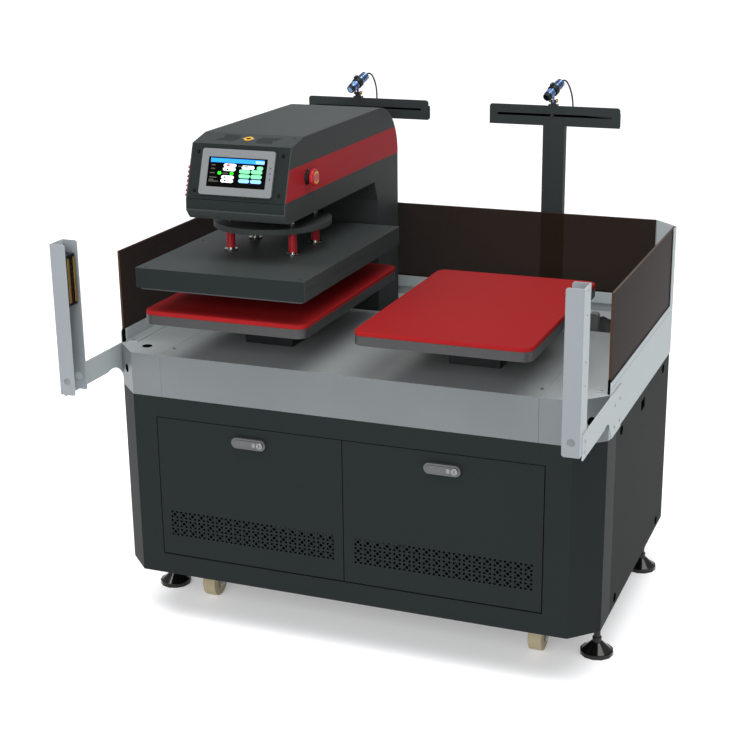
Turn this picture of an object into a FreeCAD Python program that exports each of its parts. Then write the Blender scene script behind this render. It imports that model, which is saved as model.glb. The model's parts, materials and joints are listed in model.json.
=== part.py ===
import FreeCAD, Part
import Sketcher
import math
import os
import re

# A dual-station automatic heat press. Millimetres, X to the right, Y to the back, Z up.
# The origin is on the floor under the middle of the machine.

os.makedirs("parts", exist_ok=True)
doc = FreeCAD.newDocument("heat_press")

SIZES = {
    # cabinet: an octagonal plan with four cut corners
    "front_y": -333.2, "cab_width": 1200, "cab_depth": 821, "cab_corner": 62, "cab_low": 129,
    "cab_high": 588, "deck_top": 692, "panel": 2, "seam": 0.5, "miter": 0.4142, "wrap": 150,
    # door opening and doors
    "open_half": 479, "open_low": 180.5, "open_high": 537, "door_half": 477, "door_low": 183.5,
    "door_high": 535.5, "door_split": 1, "flange": 12, "pivot_in": 7, "pivot_up": 8.5,
    "pivot_pin": 3, "pivot_hole": 3.1, "latch_up": 499, "latch_long": 87,
    "latch_tall": 26, "latch_thick": 8, "latch_rim": 12.9, "latch_arm": 30, "spindle": 5,
    "spindle_hole": 5.1, "swing_left": -234, "swing_right": 244, "cam_reach": 46, "eye": 5,
    "hinge_in": 40,
    "keeper_half": 15, "keeper_high": 12, "arm_thick": 3,
    # side and rear openings
    "plug_high_z": 566, "plug_low_z": 150, "plug_near": 200, "plug_far": 680, "pull_y": 439,
    "pull_z": 550, "pull_half": 22, "pull_tall": 13, "vent_x": 220, "vent_half": 90,
    "vent_low": 430, "vent_pitch": 14, "vent_tall": 6, "inlet_x": -400, "inlet_z": 220,
    "inlet_half": 24, "inlet_tall": 14, "inlet_rim": 6, "inlet_thick": 3, "inlet_deep": 28,
    # control box
    "box_left": -300, "box_right": 60, "box_front": 250, "box_back": 560, "box_top": 430,
    # frame tubes
    "tube": 40, "side_x": 563, "tray_x": 429, "frame_in": 50, "beam_in": 480, "shelf_low": 556,
    "shelf_high": 596, "rail_front": 600, "rail_rear": 720,
    # work top
    "deck_deep": 530, "deck_split": 461, "strip_in": 745, "strip_up": 665, "notch_x": 424, "notch_half": 18,
    "notch_deep": 22, "corner_plug_z": 640, "deck_plug_x": 525, "deck_plug_y": 56,
    "plug_cap": 11, "plug_shank": 9, "plug_proud": 1.2, "plug_deep": 6,
    # guards
    "rail_gap": 0.2, "rail_top": 719, "guard_top": 917, "guard_low": 694, "acrylic": 5,
    "guard_in": 0.5, "guard_start": 70, "corner_start": 728, "foot_wide": 30, "lip_top": 724,
    # light curtain
    "arm_top": 690, "arm_low": 634, "arm_front": -190, "arm_back": 162, "cove": 54,
    "post_front": -208, "post_deep": 53, "post_wide": 38, "post_low": 645, "post_top": 995,
    "post_web": 602.4, "post_bore": 9, "post_bore_up": 31, "slot_front": -184,
    "slot_long": 8, "slot_wide": 3, "sensor_long": 116, "sensor_low": 852,
    "sensor_deep": 33, "post_round": 6, "sensor_in": 9, "arm_thick_x": 3, "arm_heel": 142, "small_rad": 3.5,
    "screw_tall": 2, "lock_nut": 14, "lock_nut_tall": 10,
    # lower platens
    "station": 258, "plate_wide": 404, "plate_long": 590, "plate_front": -68, "plate_low": 788,
    "pad_low": 810, "pad_top": 820, "plate_round": 25, "block_wide": 124, "block_off": 5, "block_front": 164,
    "block_deep": 126, "pad_bevel": 3,
    # traverse
    "rail_half": 392, "rail_wide": 20, "rail_up": 616, "block_top": 640, "screw_y": 660,
    "screw_z": 575, "screw_rad": 10, "screw_half": 410, "journal": 6, "journal_hole": 6.05,
    "house_near": 4, "house_far": 28, "house_half": 22, "drive_half": 28, "drive_near": 50,
    "drive_far": 130, "bearing_x": 84, "bearing_half": 32, "bearing_deep": 22, "slip": 0.3,
    # head casing, side view taken from the cabinet front
    "head_wide": 248, "side_thick": 3, "skin": 2, "head_top": 1202, "head_back": 734,
    "back_round": 130, "col_front": 587, "col_low": 656, "under": 1020, "face_top_y": 66,
    "face_top_z": 1187, "face_low_y": 21, "face_low_z": 1064, "facet_y": 132, "press_y": 218,
    "beam_low": 1040, "beam_high": 1160, "beam_x": 110, "beam_wide": 20, "beam_back": 60,
    "mast_front": 12, "rear_plate_in": 34, "rear_plate_out": 14, "rear_plate_high": 1110, "press_plate": 16,
    "gear_half": 56, "gear_high": 1186, "motor_rad": 38, "motor_long": 150, "motor_z": 1130,
    "panel_z": 1045, "knee_z": 970, "knee_y": 565, "beam_front": 168,
    # operator panel
    "bezel_half": 90.5, "bezel_tall": 52.5, "bezel_thick": 6, "bezel_off": 1.5, "panel_lift": 1.8,
    "screen_half": 73, "screen_tall": 34, "face_screw_x": 105, "face_screw_up": 44.5,
    "side_screw_y": 314, "side_screw_z": 1174,
    "side_screw_gap": 20,
    # press
    "disc_rad": 140, "disc_low": 978, "disc_high": 992, "ram_rad": 25, "ram_hole": 25.1,
    "rod_rad": 5, "rod_hole": 5.1, "rod_long": 150, "rod_collar": 8, "collar_high": 6,
    "spring_x": 80, "spring_y": 66, "spring_rad": 10.5, "spring_bore": 7.5,
    "cup_rad": 16, "cup_high": 4, "bolt_rad": 6,
    "bolt_hole": 6.3, "bolt_head": 9, "cover_wide": 418, "cover_long": 596, "cover_front": -78,
    "cover_low": 876, "cover_high": 922, "cover_wall": 3, "heat_wide": 404, "heat_long": 582,
    "heat_low": 871, "heat_high": 900, "heat_in": 7,
    # emergency stop
    "stop_y": 147, "stop_z": 1108, "collar_rad": 15, "collar_long": 7,
    "button_out": 11.5, "button_thick": 7, "crown": 3.5, "barrel_rad": 11,
    "barrel_long": 26, "mush_rad": 20, "stem_rad": 6, "stem_hole": 6.1,
    # laser stands
    "bar_y": 838, "bar_wide": 346, "bar_low": 1141, "bar_high": 1193, "bar_back": 26,
    "back_web": 1175, "mast_wide": 57, "mast_low": 560,
    "spacer_half": 20, "spacer_high": 640, "spacer_low": 546,
    "slot_half": 151, "slot_z": 1168, "slot_tall": 5,
    "tube_rad": 12, "tube_long": 62, "yoke_rad": 14.5, "lead_rad": 2.2, "gland_rad": 4.5, "gland_out": 49,
    "knuckle_z": 1205, "knuckle_pin": 1.5, "knuckle_hole": 1.6, "laser_z": 1232, "laser_in": 8,
    "laser_left": -289, "laser_right": 254,
    # levelling feet
    "foot_front": 198, "foot_back": 700, "foot_rad": 40, "foot_rim": 10, "foot_cone": 31,
    "stud_rad": 8, "stud_hole": 8.1, "stud_top": 168,
    # castors
    "castor_front": 140, "castor_back": 652, "trail": 25, "wheel_rad": 38, "wheel_wide": 34,
    "wheel_z": 42, "axle_rad": 6, "axle_hole": 6.1, "leg": 3, "leg_gap": 1.5, "leg_half": 14,
    "crown_tall": 16, "plate_half": 40, "plate_deep": 45, "plate_thick": 4,
}

sheet = doc.addObject("Spreadsheet::Sheet", "sheet")
for row, (alias, size) in enumerate(SIZES.items(), start=1):
    sheet.set(f"A{row}", alias)
    sheet.set(f"B{row}", str(size))
    sheet.setAlias(f"B{row}", alias)
doc.recompute()

WORD = re.compile(r"\b([a-z]\w*)\b")
TURNS = {
    "X": FreeCAD.Rotation(FreeCAD.Vector(0, 1, 0), 90),
    "Y": FreeCAD.Rotation(FreeCAD.Vector(1, 0, 0), -90),
    "Z": FreeCAD.Rotation(),
}
ALL = ("-cab_width", "cab_width")
# the lead's corners, measured from the laser's pivot
LEAD_ROUTE = [(12.35, 34.57, 18.52), (14.5, 40.6, 21.75), (24, 44.5, 17), (37, 39, -8), (47, 21, -38),
              (49, 6, -62), (49, 6, -84)]
pieces = []


def bind(item, field, rule):
    """Bind one field of an object to a rule written in the sheet's words."""
    item.setExpression(field, WORD.sub(r"sheet.\1", str(rule)))


def place(item, spot, turn=None):
    """Put an object at a spot given by three rules, after an optional turn."""
    if turn is not None:
        item.Placement = FreeCAD.Placement(FreeCAD.Vector(), turn)
    for axis, rule in zip("xyz", spot):
        bind(item, f"Placement.Base.{axis}", rule)
    return item


def block(name, xs, ys, zs):
    """A box between two rules along each axis."""
    item = doc.addObject("Part::Box", name)
    for field, (low, high) in zip(("Length", "Width", "Height"), (xs, ys, zs)):
        bind(item, field, f"({high}) - ({low})")
    return place(item, (xs[0], ys[0], zs[0]))


def rod(name, radius, length, spot, axis="Z"):
    """A round bar that starts at a spot and runs along one axis."""
    item = doc.addObject("Part::Cylinder", name)
    bind(item, "Radius", radius)
    bind(item, "Height", length)
    turn = axis if isinstance(axis, FreeCAD.Rotation) else TURNS[axis]
    return place(item, spot, turn)


def cone(name, low_radius, high_radius, height, spot, turn=None):
    """A cone that starts at a spot and rises along Z unless it is turned."""
    item = doc.addObject("Part::Cone", name)
    bind(item, "Radius1", low_radius)
    bind(item, "Radius2", high_radius)
    bind(item, "Height", height)
    return place(item, spot, turn)


def join(name, items):
    """One solid from several that touch."""
    item = doc.addObject("Part::MultiFuse", name)
    item.Shapes = items
    return item


def group(name, items):
    """Several separate solids kept as one object."""
    item = doc.addObject("Part::Compound", name)
    item.Links = items
    return item


def cut(name, base, tool):
    """The base with the tool taken away."""
    item = doc.addObject("Part::Cut", name)
    item.Base = base
    item.Tool = tool
    return item


def overlap(name, base, tool):
    """What two objects share."""
    item = doc.addObject("Part::Common", name)
    item.Base = base
    item.Tool = tool
    return item


def mirrored(name, item):
    """The same object on the other side of the machine."""
    copy = doc.addObject("Part::Mirroring", name)
    copy.Source = item
    copy.Normal = (1, 0, 0)
    return copy


def pair(name, item):
    """An object and its mirror image as separate solids."""
    return group(name, [item, mirrored(name + "_mirror", item)])


def body_plane(body, role):
    """One of a body's own origin planes."""
    return next(f for f in body.Origin.OriginFeatures if f.Role == role)


def rectangle(half_x, half_z):
    """The four corners of a rectangle about its middle."""
    return [(f"-{half_x}", f"-{half_z}"), (half_x, f"-{half_z}"), (half_x, half_z), (f"-{half_x}", half_z)]


def prism(name, plane, outline, depth, spot, holes=()):
    """A PartDesign pad of a polygon whose corners, and round holes, follow the sheet."""
    body = doc.addObject("PartDesign::Body", name)
    sketch = body.newObject("Sketcher::SketchObject", name + "_outline")
    sketch.AttachmentSupport = (body_plane(body, plane), [""])
    sketch.MapMode = "FlatFace"
    count = len(outline)
    start = [FreeCAD.Vector(math.cos(2 * math.pi * i / count), math.sin(2 * math.pi * i / count), 0)
             for i in range(count)]
    for i in range(count):
        sketch.addGeometry(Part.LineSegment(start[i], start[(i + 1) % count]))
    for i in range(count):
        sketch.addConstraint(Sketcher.Constraint("Coincident", i, 2, (i + 1) % count, 1))
    for i, corner in enumerate(outline):
        for kind, rule in zip(("DistanceX", "DistanceY"), corner):
            index = sketch.addConstraint(Sketcher.Constraint(kind, -1, 1, i, 1, 1.0))
            bind(sketch, f"Constraints[{index}]", rule)
    for u, v, radius in holes:
        ring = sketch.addGeometry(Part.Circle(FreeCAD.Vector(0, 0, 0), FreeCAD.Vector(0, 0, 1), 1))
        size = sketch.addConstraint(Sketcher.Constraint("Radius", ring, 1.0))
        bind(sketch, f"Constraints[{size}]", radius)
        for kind, rule in (("DistanceX", u), ("DistanceY", v)):
            index = sketch.addConstraint(Sketcher.Constraint(kind, -1, 1, ring, 3, 1.0))
            bind(sketch, f"Constraints[{index}]", rule)
    pad = body.newObject("PartDesign::Pad", name + "_pad")
    pad.Profile = sketch
    bind(pad, "Length", depth)
    body.Tip = pad
    return place(body, spot)


def dress(body, kind, field, rule, chosen):
    """Round or bevel the edges of a body's pad that a test picks."""
    doc.recompute()
    pad = body.Tip
    names = [f"Edge{i}" for i, edge in enumerate(pad.Shape.Edges, start=1) if chosen(edge)]
    feature = body.newObject("PartDesign::" + kind, f"{body.Name}_{kind}")
    feature.Base = (pad, names)
    bind(feature, field, rule)
    body.Tip = feature
    return body


def upright(edge):
    """True for a straight edge that runs along the pad's own direction."""
    ends = [vertex.Point for vertex in edge.Vertexes]
    return len(ends) == 2 and (ends[1] - ends[0]).cross(FreeCAD.Vector(0, 0, 1)).Length < 0.01


def slab(name, xs, ys, zs, corner):
    """A flat plate with round corners in plan."""
    outline = [(xs[0], ys[0]), (xs[1], ys[0]), (xs[1], ys[1]), (xs[0], ys[1])]
    body = prism(name, "XY_Plane", outline, f"({zs[1]}) - ({zs[0]})", ("0", "0", zs[0]))
    return dress(body, "Fillet", "Radius", corner, upright)


def keep(item, label):
    """Name a finished piece of the machine."""
    item.Label = label
    pieces.append(item)
    return item


def octagon(name, grow, low, high):
    """The cabinet's plan, grown outwards by a margin, between two heights."""
    side = f"cab_width/2 + ({grow})"
    flat = f"cab_width/2 - cab_corner + miter*({grow})"
    front = f"front_y - ({grow})"
    rear = f"front_y + cab_depth + ({grow})"
    near = f"front_y + cab_corner - miter*({grow})"
    far = f"front_y + cab_depth - cab_corner + miter*({grow})"
    outline = [(side, near), (side, far), (flat, rear), (f"-({flat})", rear), (f"-({side})", far),
               (f"-({side})", near), (f"-({flat})", front), (flat, front)]
    return prism(name, "XY_Plane", outline, f"({high}) - ({low})", ("0", "0", low))


def deep(offset):
    """A rule for a place behind the cabinet front."""
    return f"front_y + ({offset})"


def cabinet():
    """Fascia, side panels, rear panel and floor pan: one sheet-metal box."""
    outer = octagon("cabinet_outer", "0", "cab_low", "cab_high")
    inner = octagon("cabinet_inner", "-panel", "cab_low", "cab_high")
    shell = cut("cabinet_shell", outer, inner)
    tall = ("cab_low", "cab_high")
    front = block("fascia_zone", ALL, (deep("-1"), deep("wrap")), tall)
    wrapped = overlap("fascia_sheet", shell, front)
    opening = block("door_opening", ("-open_half", "open_half"), (deep("-1"), deep("panel + 1")),
                    ("open_low", "open_high"))
    trimmed = cut("fascia_open", wrapped, opening)
    keepers = [block(f"keeper_{i}", (f"{x} + latch_arm - keeper_half", f"{x} + latch_arm + keeper_half"),
                     (deep("panel"), deep("flange")), ("open_high", "open_high + keeper_high"))
               for i, x in enumerate(("swing_left", "swing_right"))]
    keep(join("fascia_whole", [trimmed] + keepers), "front_fascia")

    sides = block("side_zone", ALL, (deep("wrap + seam"), deep("cab_depth - cab_corner - seam")), tall)
    holes = []
    plugs = []
    spots = [(y, z) for z in ("plug_high_z", "plug_low_z") for y in ("plug_near", "plug_far")]
    for i, (y, z) in enumerate(spots):
        holes.append(rod(f"side_hole_{i}", "plug_shank", "2*cab_width", ("-cab_width", deep(y), z), "X"))
        cap = rod(f"side_cap_{i}", "plug_cap", "plug_proud", ("cab_width/2", deep(y), z), "X")
        shank = rod(f"side_shank_{i}", "plug_shank", "plug_deep",
                    ("cab_width/2 - plug_deep", deep(y), z), "X")
        plugs.append(pair(f"side_plug_{i}", join(f"side_plug_whole_{i}", [cap, shank])))
    holes.append(block("pull_hole", ALL, (deep("pull_y - pull_half"), deep("pull_y + pull_half")),
                       ("pull_z - pull_tall", "pull_z + pull_tall")))
    solid_sides = overlap("side_sheets", shell, sides)
    keep(cut("side_panels", solid_sides, group("side_holes", holes)), "side_panels")

    back = block("rear_zone", ALL, (deep("cab_depth - cab_corner"), deep("cab_depth + 1")), tall)
    skin = (deep("cab_depth - panel - 1"), deep("cab_depth + 1"))
    vents = [block(f"rear_vent_{i}", (f"{side}*vent_x - vent_half", f"{side}*vent_x + vent_half"), skin,
                   (f"vent_low + {i}*vent_pitch", f"vent_low + {i}*vent_pitch + vent_tall"))
             for side in (-1, 1) for i in range(6)]
    vents.append(block("inlet_hole", ("inlet_x - inlet_half", "inlet_x + inlet_half"), skin,
                       ("inlet_z - inlet_tall", "inlet_z + inlet_tall")))
    keep(cut("rear_panel", overlap("rear_sheet", shell, back), group("rear_holes", vents)), "rear_panel")

    pan = octagon("floor_sheet", "-panel - 0.3", "cab_low", "cab_low + panel")
    bores = [rod(f"pan_bore_{x}{y}", "stud_hole", "3*panel", (f"{x}side_x", deep(y), "cab_low - panel"))
             for x in ("-", "+") for y in ("foot_front", "foot_back")]
    keep(cut("floor_pan", pan, group("pan_bores", bores)), "floor_pan")
    return plugs


def frame(hinges):
    """The welded frame of square bar that carries the feet, the platens and the traverse rails."""
    low = ("cab_low + panel", "cab_low + panel + tube")
    top = ("deck_top - panel - tube", "deck_top - panel")
    shelf = ("shelf_low", "shelf_high")
    post_z = ("cab_low + panel", "deck_top - panel")
    near = (deep("frame_in"), deep("frame_in + tube"))
    far = (deep("cab_depth - frame_in - tube"), deep("cab_depth - frame_in"))
    along = (deep("frame_in"), deep("cab_depth - frame_in"))
    bars = []
    for name, x in (("left", "-side_x"), ("right", "side_x")):
        xs = (f"{x} - tube/2", f"{x} + tube/2")
        bars.append(block(f"post_front_{name}", xs, near, post_z))
        bars.append(block(f"post_rear_{name}", xs, far, ("cab_low + panel", "strip_up - panel")))
        bars.append(block(f"low_side_{name}", xs, along, low))
        bars.append(block(f"shelf_side_{name}", xs, along, shelf))
        bars.append(block(f"top_side_{name}", xs, (deep("frame_in"), deep("beam_in + tube")), top))
        bars.append(block(f"beam_post_{name}", xs, (deep("beam_in"), deep("beam_in + tube")),
                          ("shelf_low", "deck_top - panel")))
    for name, x in (("left", "-station"), ("right", "station")):
        xs = (f"{x} - tube/2", f"{x} + tube/2")
        bars.append(block(f"platen_bar_{name}", xs, (deep("frame_in"), deep("beam_in + tube")), top))
    for name, x in (("left", "-tray_x"), ("right", "tray_x")):
        xs = (f"{x} - tube/2", f"{x} + tube/2")
        bars.append(block(f"tray_bar_{name}", xs, along, low))
    wide = ("-side_x", "side_x")
    bars.append(block("low_front", wide, near, low))
    bars.append(block("low_rear", wide, far, low))
    bars.append(block("top_front", wide, near, top))
    bars.append(block("top_beam", wide, (deep("beam_in"), deep("beam_in + tube")), top))
    for name, y in (("front", "rail_front"), ("rear", "rail_rear")):
        bars.append(block(f"rail_beam_{name}", wide, (deep(f"{y} - tube/2"), deep(f"{y} + tube/2")), shelf))
    bores = [rod(f"frame_bore_{x}{y}", "stud_hole", "2*tube", (f"{x}side_x", deep(y), "cab_low - panel"))
             for x in ("-", "+") for y in ("foot_front", "foot_back")]
    keep(cut("base_frame", join("frame_bars", bars + hinges), group("frame_bores", bores)), "base_frame")


def work_top(side_plugs):
    """The brushed top in three sheets with a folded apron, the rear strip and every black plug."""
    outer = octagon("deck_outer", "0", "cab_high", "deck_top")
    inner = octagon("deck_inner", "-panel", "cab_high - 1", "deck_top - panel")
    tall = ("cab_high - 1", "deck_top + 1")
    outer_front = overlap("deck_front", outer, block("deck_zone", ALL, (deep("-1"), deep("deck_deep")), tall))
    inner_front = overlap("deck_hollow", inner,
                          block("hollow_zone", ALL, (deep("-1"), deep("deck_deep - panel")), tall))
    shelf_notch = block("shelf_notch", ("side_x - tube/2 - 2", "side_x + tube/2 + 2"),
                        (deep("deck_deep - 2*panel"), deep("deck_deep + panel")),
                        ("cab_high - 2", "shelf_high + 2"))
    void = group("deck_void", [inner_front, pair("shelf_notches", shelf_notch)])
    deck = cut("deck_shell", outer_front, void)
    ys = (deep("-2"), deep("deck_deep + 1"))
    thirds = group("deck_thirds", [
        block("deck_left_zone", ("-cab_width", "-deck_split - seam/2"), ys, tall),
        block("deck_mid_zone", ("seam/2 - deck_split", "deck_split - seam/2"), ys, tall),
        block("deck_right_zone", ("deck_split + seam/2", "cab_width"), ys, tall)])
    holes = []
    plugs = list(side_plugs)
    for i, x in enumerate(("-deck_plug_x", "deck_plug_x")):
        y = deep("deck_plug_y")
        holes.append(rod(f"deck_hole_{i}", "plug_shank", "3*panel", (x, y, "deck_top - 2*panel")))
        cap = rod(f"deck_cap_{i}", "plug_cap + 1", "plug_proud", (x, y, "deck_top"))
        shank = rod(f"deck_shank_{i}", "plug_shank", "panel", (x, y, "deck_top - panel"))
        plugs.append(join(f"deck_plug_{i}", [cap, shank]))
    for i, side in enumerate((-1, 1)):
        out = FreeCAD.Rotation(FreeCAD.Vector(0, 0, 1), FreeCAD.Vector(side, -1, 0))
        mid_x = f"{side}*(cab_width/2 - cab_corner/2)"
        half = 3 * math.sqrt(2)
        holes.append(rod(f"corner_hole_{i}", "plug_shank - 1", "6*panel",
                         (f"{mid_x} - {side * half}", deep(f"cab_corner/2 + {half}"), "corner_plug_z"), out))
        cap = rod(f"corner_cap_{i}", "plug_cap - 1", "plug_proud",
                  (mid_x, deep("cab_corner/2"), "corner_plug_z"), out)
        shank = rod(f"corner_shank_{i}", "plug_shank - 1", "6*0.98",
                    (f"{mid_x} - {side * half}", deep(f"cab_corner/2 + {half}"), "corner_plug_z"), out)
        plugs.append(join(f"corner_plug_{i}", [cap, shank]))
    sheets = overlap("deck_sheets", cut("deck_holed", deck, group("deck_holes", holes)), thirds)

    wide = "cab_width/2 - 2*panel"
    near = deep("strip_in")
    tip = deep("strip_in + notch_deep")
    outline = [(f"-({wide})", near), ("-notch_x - notch_half", near), ("-notch_x", tip),
               ("notch_half - notch_x", near), ("notch_x - notch_half", near), ("notch_x", tip),
               ("notch_x + notch_half", near),
               (wide, near), (wide, deep("cab_depth - cab_corner")),
               ("cab_width/2 - cab_corner", deep("cab_depth - 2*panel")),
               ("cab_corner - cab_width/2", deep("cab_depth - 2*panel")),
               (f"-({wide})", deep("cab_depth - cab_corner"))]
    strip = prism("rear_strip", "XY_Plane", outline, "panel", ("0", "0", "strip_up - panel"))
    keep(group("deck_panels", [sheets, strip]), "deck_panels")
    return plugs


def guards():
    """Outer rails, rear corner plates, inner angles and the tinted sheets they hold."""
    outer = octagon("guard_outer", "rail_gap + panel", "cab_high", "guard_top")
    inner = octagon("guard_inner", "rail_gap", "cab_high", "guard_top")
    ring = cut("guard_ring", outer, inner)
    low = ("cab_high", "rail_top")
    side_ys = (deep("66"), deep("corner_start - seam"))
    rails = group("rail_zones", [
        block("rail_side_zone", ALL, side_ys, low),
        block("rail_rear_zone", ("-cab_width/2 + cab_corner + 3", "cab_width/2 - cab_corner - 3"),
              (deep("cab_depth - 10"), deep("cab_depth + 10")), low)])
    corner = block("corner_zone", ("cab_width/2 - cab_corner - 2", "cab_width"),
                   (deep("corner_start"), deep("cab_depth + 10")), ("cab_high", "guard_top"))
    left = mirrored("corner_zone_left", corner)
    plates = [overlap("outer_rails", ring, rails), overlap("corner_right", ring, corner),
              overlap("corner_left", ring, left)]

    sheet_x = ("cab_width/2 - guard_in - acrylic", "cab_width/2 - guard_in")
    tall = ("guard_low", "guard_top")
    side = block("guard_sheet", sheet_x, (deep("guard_start"), deep("cab_depth - cab_corner - 4")), tall)
    rear = block("guard_rear_sheet", ("cab_corner - cab_width/2", "cab_width/2 - cab_corner"),
                 (deep("cab_depth - guard_in - acrylic"), deep("cab_depth - guard_in")), tall)
    keep(group("guard_panels", [pair("guard_sheets", side), rear]), "guard_panels")

    inner_x = "cab_width/2 - guard_in - acrylic"
    side_y = (deep("guard_start + 6"), deep("deck_deep - 1"))
    leg = block("side_angle_leg", (f"{inner_x} - panel", inner_x),
                (deep("guard_start + 6"), deep("cab_depth - cab_corner - 6")), ("guard_low", "lip_top"))
    toe = block("side_angle_toe", (f"{inner_x} - foot_wide", inner_x), side_y,
                ("deck_top", "deck_top + panel"))
    rear_y = "cab_depth - guard_in - acrylic"
    rear_leg = block("rear_angle_leg", ("cab_corner + 6 - cab_width/2", "cab_width/2 - cab_corner - 6"),
                     (deep(f"{rear_y} - panel"), deep(rear_y)), ("deck_top - 6", "lip_top - 8"))
    angle = join("side_angle", [leg, toe])
    seal = block("edge_seal", ("cab_width/2 - guard_in - acrylic - 0.5", "cab_width/2"),
                 (deep("guard_start - 3"), deep("guard_start")), ("deck_top", "lip_top"))
    keep(group("guard_frame", plates + [pair("side_angles", angle), rear_leg]), "guard_frame")
    return pair("edge_seals", seal)


def light_curtain():
    """Arms, channel posts and the two sensor bars."""
    plate = ("post_web", "post_web + arm_thick_x")
    reach = block("arm_reach", plate, (deep("arm_front"), deep("arm_back")), ("arm_low", "arm_top"))
    heel = block("arm_heel", plate, (deep("arm_back - arm_heel"), deep("arm_back")),
                 ("cab_high + 1", "arm_top"))
    cove = rod("arm_cove", "cove", 10,
               ("post_web - 3", deep("arm_back - arm_heel"), "arm_low - cove + 4"), "X")
    toe = deep("arm_back - arm_heel - 1")
    slope = prism("arm_slope", "YZ_Plane",
                  [(toe, "cab_high - 30"), (deep("arm_back - 80"), "cab_high - 30"),
                   (deep("arm_back - 86"), "arm_low - cove + 6"), (toe, "arm_low - cove + 6")],
                  10, ("post_web - 3", "0", "0"))
    arm = cut("arm", join("arm_blank", [reach, heel]), join("arm_relief", [cove, slope]))
    keep(pair("curtain_arms", arm), "curtain_arms")

    xs = ("post_web - post_wide", "post_web")
    ys = (deep("post_front"), deep("post_front + post_deep"))
    solid = block("post_solid", xs, ys, ("post_low", "post_top"))
    hollow = block("post_hollow", ("post_web - post_wide - 1", "post_web - panel"),
                   (deep("post_front + panel"), deep("post_front + post_deep - panel")),
                   ("post_low - 1", "post_top + 1"))
    hole = rod("post_hole", "post_bore", "2*post_deep",
               ("post_web - post_wide/2", deep("post_front - 5"), "post_low + post_bore_up"), "Y")
    slots = [block(f"post_slot_{i}", ("post_web - 5", "post_web + 1"),
                   (deep("slot_front"), deep("slot_front + slot_long")), (z, f"{z} + slot_wide"))
             for i, z in enumerate((787, 837, 934, 984))]
    edge = "post_web - post_wide"
    rounds = []
    for end, z, low, high in (("foot", "post_low + post_round", "post_low - 1", "post_low + post_round"),
                              ("head", "post_top - post_round", "post_top - post_round", "post_top + 1")):
        waste = block(f"post_waste_{end}", (f"{edge} - 1", f"{edge} + post_round"),
                      (deep("post_front - 1"), deep("post_front + post_deep + 1")), (low, high))
        curve = rod(f"post_curve_{end}", "post_round", "post_deep + 4",
                    (f"{edge} + post_round", deep("post_front - 2"), z), "Y")
        rounds.append(cut(f"post_corner_{end}", waste, curve))
    post = cut("post", solid, join("post_relief", [hollow, hole] + rounds))
    slotted = cut("post_slotted", post, group("post_slots", slots))
    keep(pair("curtain_posts", slotted), "curtain_posts")

    sensor = slab("sensor_bar", ("post_web - panel - sensor_deep", "post_web - panel"),
                  (deep("post_front + sensor_in"), deep("post_front + post_deep - sensor_in")),
                  ("sensor_low", "sensor_low + sensor_long"), 3)
    keep(pair("curtain_sensors", sensor), "curtain_sensors")


def screws():
    """Button-head screws on the arms and the work top, and the lock nuts of the feet."""
    heads = []
    for i, (y, z) in enumerate(((142, 660), (94, 660), (145, 609), (96, 609), (-178, 672), (-178, 648))):
        screw = rod(f"arm_screw_{i}", "small_rad", "screw_tall", ("post_web + arm_thick_x", deep(y), z), "X")
        heads.append(pair(f"arm_screws_{i}", screw))
    for i, (x, y, z) in enumerate(((-452, 56, "deck_top"), (452, 56, "deck_top"),
                                   (-578, 84, "deck_top + panel"), (578, 84, "deck_top + panel"))):
        heads.append(rod(f"top_screw_{i}", "small_rad", "screw_tall - 0.5", (x, deep(y), z)))
    for i, x in enumerate(("-side_x", "side_x")):
        for j, y in enumerate(("foot_front", "foot_back")):
            nut = doc.addObject("Part::Prism", f"lock_nut_solid_{i}{j}")
            nut.Polygon = 6
            bind(nut, "Circumradius", "lock_nut")
            bind(nut, "Height", "lock_nut_tall")
            place(nut, (x, deep(y), "cab_low - lock_nut_tall"))
            bore = rod(f"lock_nut_bore_{i}{j}", "stud_hole", 20, (x, deep(y), "cab_low - 15"))
            heads.append(cut(f"lock_nut_{i}{j}", nut, bore))
    keep(group("machine_screws", heads), "machine_screws")


def lower_platens():
    """Two stations: support block, aluminium plate and silicone pad."""
    ys = (deep("plate_front"), deep("plate_front + plate_long"))
    xs = ("station - plate_wide/2", "station + plate_wide/2")
    stands = [block(f"support_{name}", (f"{x} - block_wide/2 + block_off", f"{x} + block_wide/2 + block_off"),
                    (deep("block_front"), deep("block_front + block_deep")), ("deck_top", "plate_low"))
              for name, x in (("left", "-station"), ("right", "station"))]
    keep(group("platen_supports", stands), "platen_supports")
    plate = slab("platen", xs, ys, ("plate_low", "pad_low"), "plate_round")
    keep(pair("lower_platens", plate), "lower_platens")
    pad = slab("pad", xs, ys, ("pad_low", "pad_top"), "plate_round")
    tallest = SIZES["pad_top"] - SIZES["pad_low"]
    dress(pad, "Chamfer", "Size", "pad_bevel",
          lambda edge: all(abs(v.Point.z - tallest) < 0.01 for v in edge.Vertexes))
    keep(pair("silicone_pads", pad), "silicone_pads")


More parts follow.
